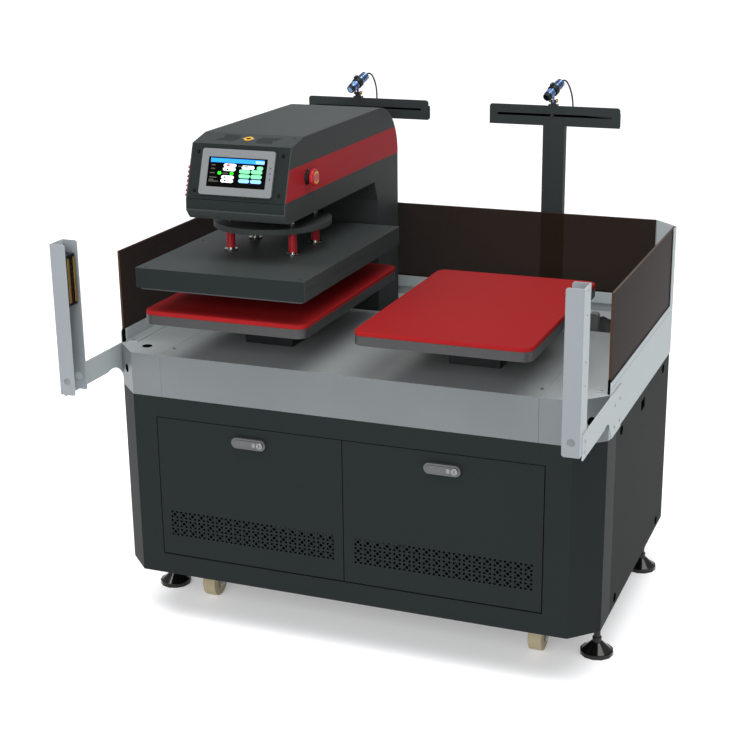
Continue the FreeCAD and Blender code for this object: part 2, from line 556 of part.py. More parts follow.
def traverse():
    """Rails, drive screw, its motor and bearings, and the carriage that they move."""
    rails = []
    blocks = []
    for name, y in (("front", "rail_front"), ("rear", "rail_rear")):
        rails.append(block(f"rail_{name}", ("-rail_half", "rail_half"),
                           (deep(f"{y} - rail_wide/2"), deep(f"{y} + rail_wide/2")),
                           ("shelf_high", "rail_up")))
        for end, x in (("left", "-station - bearing_x"), ("right", "bearing_x - station")):
            solid = block(f"bearing_{name}_{end}", (f"{x} - bearing_half", f"{x} + bearing_half"),
                          (deep(f"{y} - bearing_deep"), deep(f"{y} + bearing_deep")),
                          ("shelf_high + 6", "block_top"))
            channel = block(f"channel_{name}_{end}", (f"{x} - bearing_half - 1", f"{x} + bearing_half + 1"),
                            (deep(f"{y} - rail_wide/2 - slip"), deep(f"{y} + rail_wide/2 + slip")),
                            ("shelf_high", "rail_up + slip"))
            blocks.append(cut(f"bearing_block_{name}_{end}", solid, channel))
    keep(group("linear_rails", rails), "linear_rails")

    plate = block("carriage_top", ("-station - head_wide/2", "head_wide/2 - station"),
                  (deep("rail_front - 25"), deep("rail_rear + 25")), ("block_top", "col_low - 1"))
    nut = block("nut_block", ("-station - 22", "22 - station"), (deep("screw_y - 20"), deep("screw_y + 20")),
                ("screw_z - 18", "block_top"))
    bore = rod("nut_bore", "screw_rad + 0.1", 60, ("-station - 30", deep("screw_y"), "screw_z"), "X")
    top = cut("carriage_plate", join("carriage_blank", [plate, nut]), bore)
    keep(group("carriage", [top] + blocks), "carriage")

    thread = rod("screw_thread", "screw_rad", "2*screw_half",
                 ("-screw_half", deep("screw_y"), "screw_z"), "X")
    ends = rod("screw_ends", "journal", "2*screw_half + 82",
               ("-screw_half - 52", deep("screw_y"), "screw_z"), "X")
    collar = rod("screw_coupling", 13, 14, ("-screw_half - 46", deep("screw_y"), "screw_z"), "X")
    keep(join("traverse_screw", [thread, ends, collar]), "traverse_screw")

    drive = []
    for name, low, high in (("left", "-screw_half - house_far", "-screw_half - house_near"),
                            ("right", "screw_half + house_near", "screw_half + house_far")):
        house = block(f"bearing_house_{name}", (low, high),
                      (deep("screw_y - house_half"), deep("screw_y + house_half")),
                      ("screw_z - house_half", "shelf_high"))
        hole = rod(f"bearing_hole_{name}", "journal_hole", 40,
                   (f"{low} - 5", deep("screw_y"), "screw_z"), "X")
        strap = block(f"bearing_strap_{name}", (low, high), (deep("rail_front - 10"), deep("rail_rear + 10")),
                      ("shelf_high", "shelf_high + 6"))
        stop = prism(f"travel_stop_{name}", "XZ_Plane",
                     [(low, "shelf_high + 6"), (high, "shelf_high + 6"),
                      (high, "deck_top + 14"), (low, "deck_top + 14")],
                     "house_far - house_near", ("0", deep("screw_y"), "0"))
        dress(stop, "Fillet", "Radius", 8, lambda edge: edge.Vertexes[0].Point.z > SIZES["deck_top"]
              and edge.Vertexes[1].Point.z > SIZES["deck_top"]
              and abs(edge.Vertexes[0].Point.x - edge.Vertexes[1].Point.x) < 0.01)
        drive.append(cut(f"bearing_{name}", join(f"bearing_solid_{name}", [house, strap, stop]), hole))
    motor = block("motor_case", ("-screw_half - drive_far", "-screw_half - drive_near"),
                  (deep("screw_y - drive_half"), deep("screw_y + drive_half")),
                  ("screw_z - drive_half", "screw_z + drive_half"))
    socket = rod("motor_socket", "journal_hole", 30, ("-screw_half - 75", deep("screw_y"), "screw_z"), "X")
    foot = block("motor_foot", ("-screw_half - drive_far", "-screw_half - drive_far + 20"),
                 (deep("rail_front"), deep("rail_rear")), ("shelf_high", "screw_z + drive_half"))
    drive.append(cut("motor_whole", join("motor_solid", [motor, foot]), socket))
    keep(group("traverse_drive", drive), "traverse_drive")


def head_outline(inset):
    """The side view of the head, drawn in from its outer line by a margin."""
    back = f"head_back - {inset}"
    top = f"head_top - {inset}"
    return [(deep(f"38 + {inset}*0.6"), f"under + {inset}"),
            (deep(f"29 + {inset}*1.2"), f"under + 9 + {inset}*0.6"),
            (deep(f"20 + {inset}"), f"under + 21 + {inset}*0.2"),
            (deep(f"face_low_y + {inset}*1.06"), "face_low_z"),
            (deep(f"face_top_y + {inset}*0.8"), f"face_top_z - {inset}*0.8"), (deep("facet_y"), top),
            (deep(back), top), (deep(back), "col_low"), (deep(f"col_front + {inset}"), "col_low"),
            (deep(f"col_front + {inset}"), "knee_z"), (deep(f"knee_y + {inset}"), f"under + {inset}")]


def head():
    """The casing of the head in sheet metal, and the frame that it hides."""
    outline = head_outline("0")
    inner_outline = head_outline("skin")
    curved = lambda edge: (edge.Vertexes[0].Point.z > SIZES["head_top"] - 5
                           and edge.Vertexes[0].Point.y > SIZES["front_y"] + SIZES["head_back"] - 5
                           and abs(edge.Vertexes[0].Point.y - edge.Vertexes[-1].Point.y) < 0.01
                           and abs(edge.Vertexes[0].Point.z - edge.Vertexes[-1].Point.z) < 0.01)
    left = prism("side_left", "YZ_Plane", outline, "side_thick", ("-station - head_wide/2", "0", "0"))
    dress(left, "Fillet", "Radius", "back_round", curved)
    right = prism("side_right", "YZ_Plane", outline, "side_thick",
                  ("head_wide/2 - side_thick - station", "0", "0"))
    dress(right, "Fillet", "Radius", "back_round", curved)
    bore = rod("stop_bore", "stem_hole", 40, ("head_wide/2 - 20 - station", deep("stop_y"), "stop_z"), "X")
    keep(group("head_sides", [left, cut("side_right_bored", right, bore)]), "head_sides")

    width = "head_wide - 2*side_thick - 0.4"
    spot = ("-station - head_wide/2 + side_thick + 0.2", "0", "0")
    solid = prism("casing_outer", "YZ_Plane", outline, width, spot)
    dress(solid, "Fillet", "Radius", "back_round", curved)
    hollow = prism("casing_inner", "YZ_Plane", inner_outline, "head_wide + 40",
                   ("-station - head_wide/2 - 20", "0", "0"))
    dress(hollow, "Fillet", "Radius", "back_round - skin", curved)
    floor = block("casing_floor", ("-station - head_wide", "head_wide - station"),
                  (deep("col_front + skin"), deep("head_back - skin")), ("col_low - 1", "col_low + 10"))
    ring = cut("casing_ring", solid, join("casing_void", [hollow, floor]))
    xs = ("-station - head_wide", "head_wide - station")
    top_zone = join("cover_zone", [
        block("cover_zone_top", xs, (deep("face_top_y + 1"), deep("head_back + 1")),
              ("face_low_z", "head_top + 1")),
        block("cover_zone_back", xs, (deep("col_front + 60"), deep("head_back + 1")),
              ("col_low - 1", "head_top + 1"))])
    keep(overlap("head_cover", ring, top_zone), "head_cover")
    front_zone = block("front_zone", xs, (deep("0"), deep("face_top_y + 0.5")), ("panel_z", "head_top + 1"))
    keep(overlap("head_front_panel", ring, front_zone), "head_front_panel")
    low_zone = join("under_zone", [
        block("under_zone_nose", xs, (deep("0"), deep("col_front + 10")), ("col_low - 1", "panel_z - seam")),
        block("under_zone_column", xs, (deep("col_front - 30"), deep("col_front + 10")),
              ("col_low - 1", "panel_z - seam"))])
    under = overlap("under_sheet", ring, low_zone)
    passes = [rod("ram_pass", "ram_rad + 3", 30, ("-station", deep("press_y"), "under - 10"))]
    for i, (x, y) in enumerate(spring_spots()):
        passes.append(rod(f"rod_pass_{i}", "rod_rad + 1", 30, (x, y, "under - 10")))
    keep(cut("head_under_cover", under, group("under_passes", passes)), "head_under_cover")

    beams = []
    for name, x in (("left", "-station - beam_x"), ("right", "beam_x - beam_wide - station")):
        beams.append(block(f"beam_{name}", (x, f"{x} + beam_wide"),
                           (deep("beam_front"), deep("head_back - beam_back")), ("beam_low", "beam_high")))
        beams.append(block(f"mast_{name}", (x, f"{x} + beam_wide"),
                           (deep("col_front + mast_front"), deep("head_back - rear_plate_out")),
                           ("col_low - 1", "beam_low + 1")))
    beams.append(block("frame_back", ("-station - beam_x", "beam_x - station"),
                       (deep("head_back - rear_plate_in"), deep("head_back - rear_plate_out")),
                       ("col_low - 1", "rear_plate_high")))
    beams.append(block("frame_tie", ("-station - beam_x", "beam_x - station"),
                       (deep("head_back - beam_back - beam_wide"), deep("head_back - rear_plate_in + 1")),
                       ("beam_low", "beam_low + beam_wide")))
    plate_half = "(head_wide/2 - side_thick - 3)"
    beams.append(block("press_plate", (f"-station - {plate_half}", f"{plate_half} - station"),
                       (deep("press_y - 80"), deep("press_y + 80")), ("beam_low - press_plate", "beam_low")))
    frame_bores = [rod("ram_bore", "ram_hole + 1", 40, ("-station", deep("press_y"), "under - 5"))]
    for i, (x, y) in enumerate(spring_spots()):
        frame_bores.append(rod(f"rod_bore_{i}", "rod_hole", 40, (x, y, "under - 5")))
    keep(cut("head_frame", join("head_beams", beams), group("head_bores", frame_bores)), "head_frame")

    gear = block("gear_case", ("-station - gear_half", "gear_half - station"),
                 (deep("press_y - gear_half"), deep("press_y + gear_half")), ("beam_low", "gear_high"))
    motor = rod("press_motor", "motor_rad", "motor_long",
                ("-station", deep("press_y + gear_half - 6"), "motor_z"), "Y")
    well = rod("ram_well", "ram_hole", 130, ("-station", deep("press_y"), "beam_low - 10"))
    keep(cut("press_actuator", join("actuator_solid", [gear, motor]), well), "press_actuator")


def operator_panel():
    """The sloping operator panel, its screws, the small casing screws and the stop collar."""
    rise = SIZES["face_top_z"] - SIZES["face_low_z"]
    run = SIZES["face_top_y"] - SIZES["face_low_y"]
    lean = FreeCAD.Rotation(FreeCAD.Vector(1, 0, 0), -math.degrees(math.atan2(run, rise)))
    mid = (deep("(face_low_y + face_top_y)/2"), "(face_low_z + face_top_z)/2")
    bezel = prism("hmi_body", "XZ_Plane", rectangle("bezel_half", "bezel_tall"), "bezel_thick",
                  ("0", "0", "0"))
    dress(bezel, "Fillet", "Radius", 6, lambda edge: len(edge.Vertexes) == 2
          and abs(edge.Vertexes[0].Point.y - edge.Vertexes[1].Point.y) > 1)
    lift = lean.multVec(FreeCAD.Vector(0, 0, SIZES["panel_lift"]))
    place(bezel, ("-station - bezel_off", f"{mid[0]} + {lift.y}", f"{mid[1]} + {lift.z}"), lean)
    window = prism("hmi_window", "XZ_Plane", rectangle("screen_half", "screen_tall"), 3, ("0", "0", "0"))
    reach = lean.multVec(FreeCAD.Vector(0, -4.5, SIZES["panel_lift"]))
    place(window, ("-station - bezel_off", f"{mid[0]} + {reach.y}", f"{mid[1]} + {reach.z}"), lean)
    keep(cut("hmi_panel", bezel, window), "hmi_panel")

    turn = lean.multiply(TURNS["Y"]).multiply(FreeCAD.Rotation(FreeCAD.Vector(1, 0, 0), 180))
    heads = []
    for i, (side, up) in enumerate((("-", 1), ("+", 1), ("-", -1), ("+", -1))):
        offset = lean.multVec(FreeCAD.Vector(0, 0, up * SIZES["face_screw_up"] + SIZES["panel_lift"]))
        spot = (f"-station {side} face_screw_x", f"{mid[0]} + {offset.y}", f"{mid[1]} + {offset.z}")
        heads.append(rod(f"face_screw_{i}", 3, 2, spot, turn))
    for i in range(2):
        spot = ("head_wide/2 - station", deep("side_screw_y"), f"side_screw_z - {i}*side_screw_gap")
        heads.append(rod(f"side_screw_{i}", 2.5, 1, spot, "X"))
    keep(group("head_screws", heads), "head_screws")

    wall = ("head_wide/2 - station", deep("stop_y"), "stop_z")
    ring = rod("collar_ring", "collar_rad", "collar_long", wall, "X")
    flange = rod("collar_flange", "collar_rad + 3", 3, wall, "X")
    hole = rod("collar_hole", "stem_hole", 60, ("head_wide/2 - 30 - station", deep("stop_y"), "stop_z"), "X")
    barrel = rod("collar_barrel", "barrel_rad", "barrel_long",
                 ("head_wide/2 - side_thick - barrel_long - station", deep("stop_y"), "stop_z"), "X")
    shell = join("collar_join", [ring, flange])
    keep(group("estop_collar", [cut("collar_front", shell, hole), cut("collar_back", barrel, hole)]),
         "estop_collar")
    stem = rod("stop_stem", "stem_rad", "32 + button_out",
               ("head_wide/2 - 30 - station", deep("stop_y"), "stop_z"), "X")
    button = rod("stop_button", "mush_rad", "button_thick",
                 ("head_wide/2 + button_out - station", deep("stop_y"), "stop_z"), "X")
    crown = cone("stop_crown", "mush_rad", "mush_rad - 4", "crown",
                 ("head_wide/2 + button_out + button_thick - station", deep("stop_y"), "stop_z"), TURNS["X"])
    keep(join("estop_button", [stem, button, crown]), "estop_button")


def spring_spots():
    """The four places, left to right and front to back, where the springs and their rods stand."""
    return [(f"-station {a} spring_x", deep(f"press_y {b} spring_y")) for b in ("-", "+") for a in ("-", "+")]


def press():
    """Pressure disc, ram, rods, springs and the hot platen."""
    keep(rod("pressure_disc", "disc_rad", "disc_high - disc_low", ("-station", deep("press_y"), "disc_low")),
         "pressure_disc")
    parts = [rod("ram", "ram_rad", 100, ("-station", deep("press_y"), "disc_high"))]
    cups = []
    springs = []
    holes = []
    for i, (x, y) in enumerate(spring_spots()):
        guide = rod(f"guide_rod_{i}", "rod_rad", "rod_long", (x, y, "disc_high"))
        shoulder = rod(f"rod_collar_{i}", "rod_collar", "collar_high", (x, y, "disc_high"))
        parts.append(join(f"guide_whole_{i}", [guide, shoulder]))
        shank = rod(f"bolt_shank_{i}", "bolt_rad", "disc_low - cover_high + 6", (x, y, "cover_high - 6"))
        head_end = rod(f"bolt_head_{i}", "bolt_head", 6, (x, y, "cover_high - cover_wall - 6.2"))
        parts.append(join(f"shoulder_bolt_{i}", [shank, head_end]))
        bore = rod(f"cup_bore_{i}", "bolt_hole", 20, (x, y, "cover_high - 10"))
        cup = rod(f"cup_solid_{i}", "cup_rad", "cup_high", (x, y, "cover_high"))
        cups.append(cut(f"cup_{i}", cup, bore))
        holes.append(rod(f"cover_bore_{i}", "bolt_hole", 20, (x, y, "cover_high - 10")))
        coil = rod(f"spring_solid_{i}", "spring_rad", "disc_low - cover_high - cup_high",
                   (x, y, "cover_high + cup_high"))
        core = rod(f"spring_core_{i}", "spring_bore", 80, (x, y, "cover_high"))
        springs.append(cut(f"spring_{i}", coil, core))
    keep(group("press_ram", parts), "press_ram")
    keep(group("spring_cups", cups), "spring_cups")
    keep(group("press_springs", springs), "press_springs")

    xs = ("-station - cover_wide/2", "cover_wide/2 - station")
    ys = (deep("cover_front"), deep("cover_front + cover_long"))
    outer = slab("cover_outer", xs, ys, ("cover_low", "cover_high"), 4)
    inner = block("cover_inner", (f"{xs[0]} + cover_wall", f"{xs[1]} - cover_wall"),
                  (f"{ys[0]} + cover_wall", f"{ys[1]} - cover_wall"),
                  ("cover_low - 1", "cover_high - cover_wall"))
    keep(cut("platen_cover", outer, join("cover_relief", [inner] + holes)), "platen_cover")
    keep(slab("hot_plate", ("-station - heat_wide/2", "heat_wide/2 - station"),
              (deep("cover_front + heat_in"), deep("cover_front + heat_in + heat_long")),
              ("heat_low", "heat_high"), 8), "heat_plate")


def hinge_bracket(name, x):
    """A door's hinge eye on an arm that stands on the frame's low front bar."""
    corner = [(-3, 1.8), (3, -1.8), (12, 17), (43, 10), (43, -21), (57, -21), (57, 24), (10, 24)]
    outline = [(deep(f"pivot_in + {y}"), f"door_low + pivot_up + {z}") for y, z in corner]
    outline[4] = (outline[4][0], "cab_low + panel + tube")
    outline[5] = (outline[5][0], "cab_low + panel + tube")
    left = f"{x} - arm_thick/2"
    arm = prism(f"hinge_arm_{name}", "YZ_Plane", outline, "arm_thick", (left, "0", "0"))
    eye = rod(f"hinge_eye_{name}", "eye", "arm_thick", (left, deep("pivot_in"), "door_low + pivot_up"), "X")
    hole = rod(f"hinge_hole_{name}", "pivot_hole", "2*arm_thick",
               (f"{x} - arm_thick", deep("pivot_in"), "door_low + pivot_up"), "X")
    return cut(f"hinge_{name}", join(f"hinge_solid_{name}", [arm, eye]), hole)


def doors():
    """Two drop-down doors on pins, each with an oblong swing latch."""
    brackets = []
    for name, low, high, swing in (("left", "-door_half", "-door_split", "swing_left"),
                                   ("right", "door_split", "door_half", "swing_right")):
        skin = block(f"door_skin_{name}", (low, high), (deep("0"), deep("panel")), ("door_low", "door_high"))
        rim = block(f"door_rim_{name}", (low, high), (deep("panel"), deep("flange")),
                    ("door_low", "door_high"))
        well = block(f"door_well_{name}", (f"{low} + panel", f"{high} - panel"),
                     (deep("panel"), deep("flange + 1")), ("door_low + panel", "door_high - panel"))
        solids = [skin, cut(f"door_flange_{name}", rim, well)]
        for end, x, way in (("outer", f"{low} + hinge_in", 1), ("inner", f"{high} - hinge_in", -1)):
            brackets.append(hinge_bracket(f"{name}_{end}", x))
            lug_x = sorted((2, 5), key=lambda step: step * way)
            solids.append(block(f"lug_{name}_{end}", (f"{x} + {lug_x[0] * way}", f"{x} + {lug_x[1] * way}"),
                                (deep("panel"), deep("flange")),
                                ("door_low + panel - 1", "door_low + pivot_up + 5")))
            solids.append(rod(f"door_pin_{name}_{end}", "pivot_pin", 7,
                              (f"{x} - {2 if way > 0 else 5}", deep("pivot_in"), "door_low + pivot_up"), "X"))
        hole = rod(f"latch_hole_{name}", "spindle_hole", 20,
                   (f"{swing} + latch_arm", deep("-5"), "latch_up"), "Y")
        keep(cut(f"door_{name}", join(f"door_whole_{name}", solids), hole), f"door_{name}")

        ends = (f"{swing} - latch_long/2", f"{swing} + latch_long/2")
        levels = ("latch_up - latch_tall/2", "latch_up + latch_tall/2")
        lever = prism(f"lever_{name}", "XZ_Plane",
                      [(ends[0], levels[0]), (ends[1], levels[0]),
                       (ends[1], levels[1]), (ends[0], levels[1])],
                      "latch_thick", ("0", deep("-0.5"), "0"))
        dress(lever, "Fillet", "Radius", "latch_rim", lambda edge: len(edge.Vertexes) == 2
              and abs(edge.Vertexes[0].Point.y - edge.Vertexes[1].Point.y) > 1)
        spindle = rod(f"spindle_{name}", "spindle", "flange + 4.5",
                      (f"{swing} + latch_arm", deep("-1"), "latch_up"), "Y")
        cam = block(f"cam_{name}", (f"{swing} + latch_arm - 6", f"{swing} + latch_arm + cam_reach"),
                    (deep("flange + 0.5"), deep("flange + 3.5")), ("latch_up - 6", "latch_up + 6"))
        keep(join(f"latch_{name}", [lever, spindle, cam]), f"latch_{name}")
    return brackets


def laser(name):
    """One cross-line laser on its sliding clamp."""
    aim = FreeCAD.Vector(-0.3, -0.84, -0.45).normalize()
    turn = FreeCAD.Rotation(FreeCAD.Vector(0, 0, 1), aim)
    x = f"laser_{name}"
    y = deep("bar_y + laser_in")
    jaw = block(f"jaw_{name}", (f"{x} - 12", f"{x} + 12"),
                (deep("bar_y + panel + 0.3"), deep("bar_y + panel + 14")), ("slot_z - 6", "bar_high + 3"))
    stud = rod(f"stud_{name}", 2, 10, (x, deep("bar_y - 3"), "slot_z"), "Y")
    washer = rod(f"washer_{name}", 4.5, 2, (x, deep("bar_y - 2.3"), "slot_z"), "Y")
    neck = block(f"neck_{name}", (f"{x} - 6", f"{x} + 6"), (f"{y} - 5", f"{y} + 5"),
                 ("bar_high + 2", "knuckle_z - 5"))
    pin = rod(f"knuckle_pin_{name}", "knuckle_pin", 14, (f"{x} - 7", y, "knuckle_z"), "X")
    cheeks = [block(f"cheek_{name}_{end}", (f"{x} {end} 4.2 - 1.8", f"{x} {end} 4.2 + 1.8"),
                    (f"{y} - 5", f"{y} + 5"), ("knuckle_z - 6", "knuckle_z + 2")) for end in ("-", "+")]
    keep(join(f"laser_clamp_{name}", [jaw, stud, washer, neck, pin] + cheeks), f"laser_clamp_{name}")

    def along(shift):
        step = aim * shift
        return (f"{x} + {step.x}", f"{y} + {step.y}", f"laser_z + {step.z}")

    tube = rod(f"tube_{name}", "tube_rad", "tube_long", along(-34), turn)
    nose = rod(f"nose_{name}", "tube_rad - 2.5", 10, along(26), turn)
    yoke = rod(f"yoke_{name}", "yoke_rad", 12, along(-6), turn)
    tail = rod(f"tail_{name}", 4, 8, along(-41), turn)
    lug = block(f"lug_{name}", (f"{x} - 2", f"{x} + 2"), (f"{y} - 4", f"{y} + 4"),
                ("knuckle_z - 4", "laser_z"))
    hole = rod(f"lug_hole_{name}", "knuckle_hole", 10, (f"{x} - 5", y, "knuckle_z"), "X")
    solid = join(f"laser_solid_{name}", [tube, nose, yoke, tail, lug])
    keep(cut(f"laser_tube_{name}", solid, hole), f"laser_tube_{name}")


def lead(name, x):
    """The laser's thin lead: from the tube's tail in an arc down to the gland behind the bar."""
    y = SIZES["front_y"] + SIZES["bar_y"] + SIZES["laser_in"]
    z = SIZES["laser_z"]
    route = [FreeCAD.Vector(x + a, y + b, z + c) for a, b, c in LEAD_ROUTE]
    edges = []
    start = route[0]
    for before, corner, after in zip(route, route[1:], route[2:]):
        into = (corner - before).normalize()
        out = (after - corner).normalize()
        half = into.getAngle(out) / 2
        back = 0.45 * min((corner - before).Length, (after - corner).Length)
        radius = back / math.tan(half)
        print(name, "bend radius", round(radius, 1))
        first = corner - into * back
        last = corner + out * back
        rise = radius / math.cos(half) - radius
        middle = corner + (out - into).normalize() * rise
        edges.append(Part.makeLine(start, first))
        edges.append(Part.Arc(first, middle, last).toShape())
        start = last
    edges.append(Part.makeLine(start, route[-1]))
    path = Part.Wire(edges)
    ring = Part.Wire(Part.makeCircle(SIZES["lead_rad"], route[0], (route[1] - route[0]).normalize()))
    tube = path.makePipeShell([ring], True, True)
    print(name, "length", round(path.Length, 1), "volume ratio",
          round(tube.Volume / (math.pi * SIZES["lead_rad"] ** 2 * path.Length), 3))
    item = doc.addObject("Part::Feature", name)
    item.Shape = tube
    keep(item, name)


def lasers():
    """The two T-shaped stands behind the machine and what they carry."""
    web = slab_upright("bar_web", "station - bar_wide/2", "station + bar_wide/2", "bar_low", "bar_high")
    deep_lip = (deep("bar_y"), deep("bar_y + bar_back"))
    tall = ("mast_low", "bar_low + 1")
    lip = block("bar_lip", ("station - bar_wide/2 + 4", "station + bar_wide/2 - 4"), deep_lip,
                ("bar_low", "bar_low + panel"))
    post = block("mast_web", ("station - mast_wide/2", "station + mast_wide/2"),
                 (deep("bar_y"), deep("bar_y + panel")), tall)
    left = "station - mast_wide/2"
    right = "station + mast_wide/2"
    wings = [block("mast_wing_left", (left, f"{left} + panel"), deep_lip, tall),
             block("mast_wing_right", (f"{right} - panel", right), deep_lip, tall)]
    spacers = [block(f"mast_spacer_{i}", ("station - spacer_half", "station + spacer_half"),
                     (deep(inner), deep("bar_y")), (low, f"{low} + 2*spacer_half"))
               for i, (low, inner) in enumerate((("spacer_high", "cab_depth + rail_gap + panel"),
                                                 ("spacer_low", "cab_depth")))]
    slot = block("bar_slot", ("station - slot_half", "station + slot_half"),
                 (deep("bar_y - 1"), deep("bar_y + panel + 1")),
                 ("slot_z - slot_tall/2", "slot_z + slot_tall/2"))
    fold = block("bar_fold", ("station - bar_wide/2 + 4", "station + bar_wide/2 - 4"),
                 (deep("bar_y + bar_back - panel"), deep("bar_y + bar_back")), ("bar_low", "back_web"))
    mast = cut("mast", join("mast_whole", [web, lip, fold, post] + wings + spacers), slot)
    glands = []
    for name in ("left", "right"):
        spot = (f"laser_{name} + gland_out", deep("bar_y + laser_in + 6"), "bar_low + panel")
        glands.append(cut(f"gland_{name}", rod(f"gland_solid_{name}", "gland_rad", 8, spot),
                          rod(f"gland_bore_{name}", "lead_rad + 0.1", 8, spot)))
    keep(group("laser_masts", [pair("masts", mast)] + glands), "laser_masts")
    for name in ("left", "right"):
        laser(name)
        lead(f"laser_lead_{name}", SIZES[f"laser_{name}"])


def slab_upright(name, left, right, low, high):
    """A thin upright sheet whose two top corners are round."""
    body = prism(name, "XZ_Plane", [(left, low), (right, low), (right, high), (left, high)], "panel",
                 ("0", deep("bar_y + panel"), "0"))
    top = SIZES["bar_high"]
    return dress(body, "Fillet", "Radius", 8, lambda edge: len(edge.Vertexes) == 2
                 and all(abs(v.Point.z - top) < 0.01 for v in edge.Vertexes)
                 and abs(edge.Vertexes[0].Point.x - edge.Vertexes[1].Point.x) < 0.01)


def electrics():
    """The control box on the floor pan and the mains inlet on the rear panel."""
    keep(block("control_box", ("box_left", "box_right"), (deep("box_front"), deep("box_back")),
               ("cab_low + panel + tube", "box_top")), "control_box")

    def inlet_part(name, grow, low, high):
        return block(name, (f"inlet_x - inlet_half - ({grow})", f"inlet_x + inlet_half + ({grow})"),
                     (deep(f"cab_depth + ({low})"), deep(f"cab_depth + ({high})")),
                     (f"inlet_z - inlet_tall - ({grow})", f"inlet_z + inlet_tall + ({grow})"))

    flange = inlet_part("inlet_flange", "inlet_rim", "0", "inlet_thick")
    body = inlet_part("inlet_body", "-1", "-inlet_deep", "0")
    well = inlet_part("inlet_well", "-inlet_rim", "-16", "inlet_thick + 1")
    keep(cut("power_inlet", join("inlet_solid", [flange, body]), well), "power_inlet")


def feet():
    """Four faceted levelling feet on threaded studs."""
    for name, x, y in (("front_left", "-side_x", "foot_front"), ("front_right", "side_x", "foot_front"),
                       ("rear_left", "-side_x", "foot_back"), ("rear_right", "side_x", "foot_back")):
        rim = doc.addObject("Part::Prism", f"foot_rim_{name}")
        rim.Polygon = 12
        bind(rim, "Circumradius", "foot_rad")
        bind(rim, "Height", "foot_rim")
        place(rim, (x, deep(y), "0"))
        dome = cone(f"foot_dome_{name}", "foot_rad - 4", "stud_rad + 5", "foot_cone - foot_rim",
                    (x, deep(y), "foot_rim"))
        nut = rod(f"foot_neck_{name}", "stud_rad + 3", 12, (x, deep(y), "foot_cone"))
        stud = rod(f"foot_stud_{name}", "stud_rad", "stud_top - foot_cone", (x, deep(y), "foot_cone"))
        keep(join(f"foot_{name}", [rim, dome, nut, stud]), f"foot_{name}")


def castor(name, x, y, swivels):
    """One twin-leg castor; returns the pieces that stay with the cabinet."""
    plate = block(f"castor_plate_{name}", (f"{x} - plate_half", f"{x} + plate_half"),
                  (deep(f"{y} - plate_deep"), deep(f"{y} + plate_deep")),
                  ("cab_low - plate_thick", "cab_low"))
    wheel_y = deep(f"{y} + trail")
    wide = "wheel_wide/2 + leg_gap"
    top = "cab_low - plate_thick - 2" if swivels else "cab_low - plate_thick"
    crown = block(f"fork_crown_{name}", (f"{x} - ({wide}) - leg", f"{x} + {wide} + leg"),
                  (deep(f"{y} - 20"), deep(f"{y} + trail + leg_half")), (f"{top} - crown_tall", top))
    sides = (("left", f"{x} - ({wide}) - leg"), ("right", f"{x} + {wide}"))
    legs = [block(f"fork_leg_{name}_{s}", (near, f"{near} + leg"),
                  (deep(f"{y} + trail - leg_half"), deep(f"{y} + trail + leg_half")),
                  ("wheel_z - 12", f"{top} - 1")) for s, near in sides]
    axle = rod(f"axle_{name}", "axle_rad", "wheel_wide + 2*leg_gap + 2*leg + 4",
               (f"{x} - wheel_wide/2 - leg_gap - leg - 2", wheel_y, "wheel_z"), "X")
    relief = rod(f"fork_relief_{name}", "wheel_rad + 3", "wheel_wide + 2*leg_gap",
                 (f"{x} - wheel_wide/2 - leg_gap", wheel_y, "wheel_z"), "X")
    arch = cut(f"fork_arch_{name}", join(f"fork_solid_{name}", [crown] + legs), relief)
    tyre = rod(f"tyre_{name}", "wheel_rad", "wheel_wide", (f"{x} - wheel_wide/2", wheel_y, "wheel_z"), "X")
    hub = rod(f"wheel_bore_{name}", "axle_hole", "2*wheel_wide",
              (f"{x} - wheel_wide", wheel_y, "wheel_z"), "X")
    keep(cut(f"castor_wheel_{name}", tyre, hub), f"castor_wheel_{name}")
    if not swivels:
        return [join(f"castor_rigid_{name}", [plate, arch, axle])]
    spindle = rod(f"fork_spindle_{name}", 8, 7, (x, deep(y), f"{top} - 2"))
    bore = rod(f"plate_bore_{name}", 8.1, 12, (x, deep(y), "cab_low - 8"))
    seat = cut(f"castor_seat_{name}", plate, bore)
    keep(join(f"castor_fork_{name}", [arch, axle, spindle]), f"castor_fork_{name}")
    return [seat]


def castors():
    """Two swivel castors in front and two rigid ones behind."""
    mounts = []
    for end, y, swivels in (("front", "castor_front", True), ("rear", "castor_back", False)):
        for side, x in (("left", "-tray_x"), ("right", "tray_x")):
            mounts += castor(f"{end}_{side}", x, y, swivels)
    keep(group("castor_mounts", mounts), "castor_mounts")


plugs = work_top(cabinet())
frame(doors())
keep(group("rubber_trim", plugs + [guards()]), "rubber_trim")
light_curtain()
screws()
lower_platens()
traverse()
head()
operator_panel()
press()
lasers()
electrics()
feet()
castors()
doc.recompute()

for item in doc.Objects:
    if {"Invalid", "Error"} & set(item.State):
        print("BAD", item.Label, item.State)
whole = Part.makeCompound([piece.Shape for piece in pieces if not piece.Label.startswith("laser_lead")])
box = whole.BoundBox
print("extent", [round(v, 1) for v in (box.XMin, box.XMax, box.YMin, box.YMax, box.ZMin, box.ZMax)])
for piece in pieces:
    shape = piece.Shape
    if shape.isNull() or not shape.isValid():
        print("BAD SHAPE", piece.Label)
    shape.exportStep(f"parts/{piece.Label}.step")
print(len(pieces), "pieces")
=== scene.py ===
"""Looks of a dual-station heat press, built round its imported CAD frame: metres, X right, Y back, Z up."""

import json
import math

import bmesh
import bpy
from mathutils import Matrix, Vector

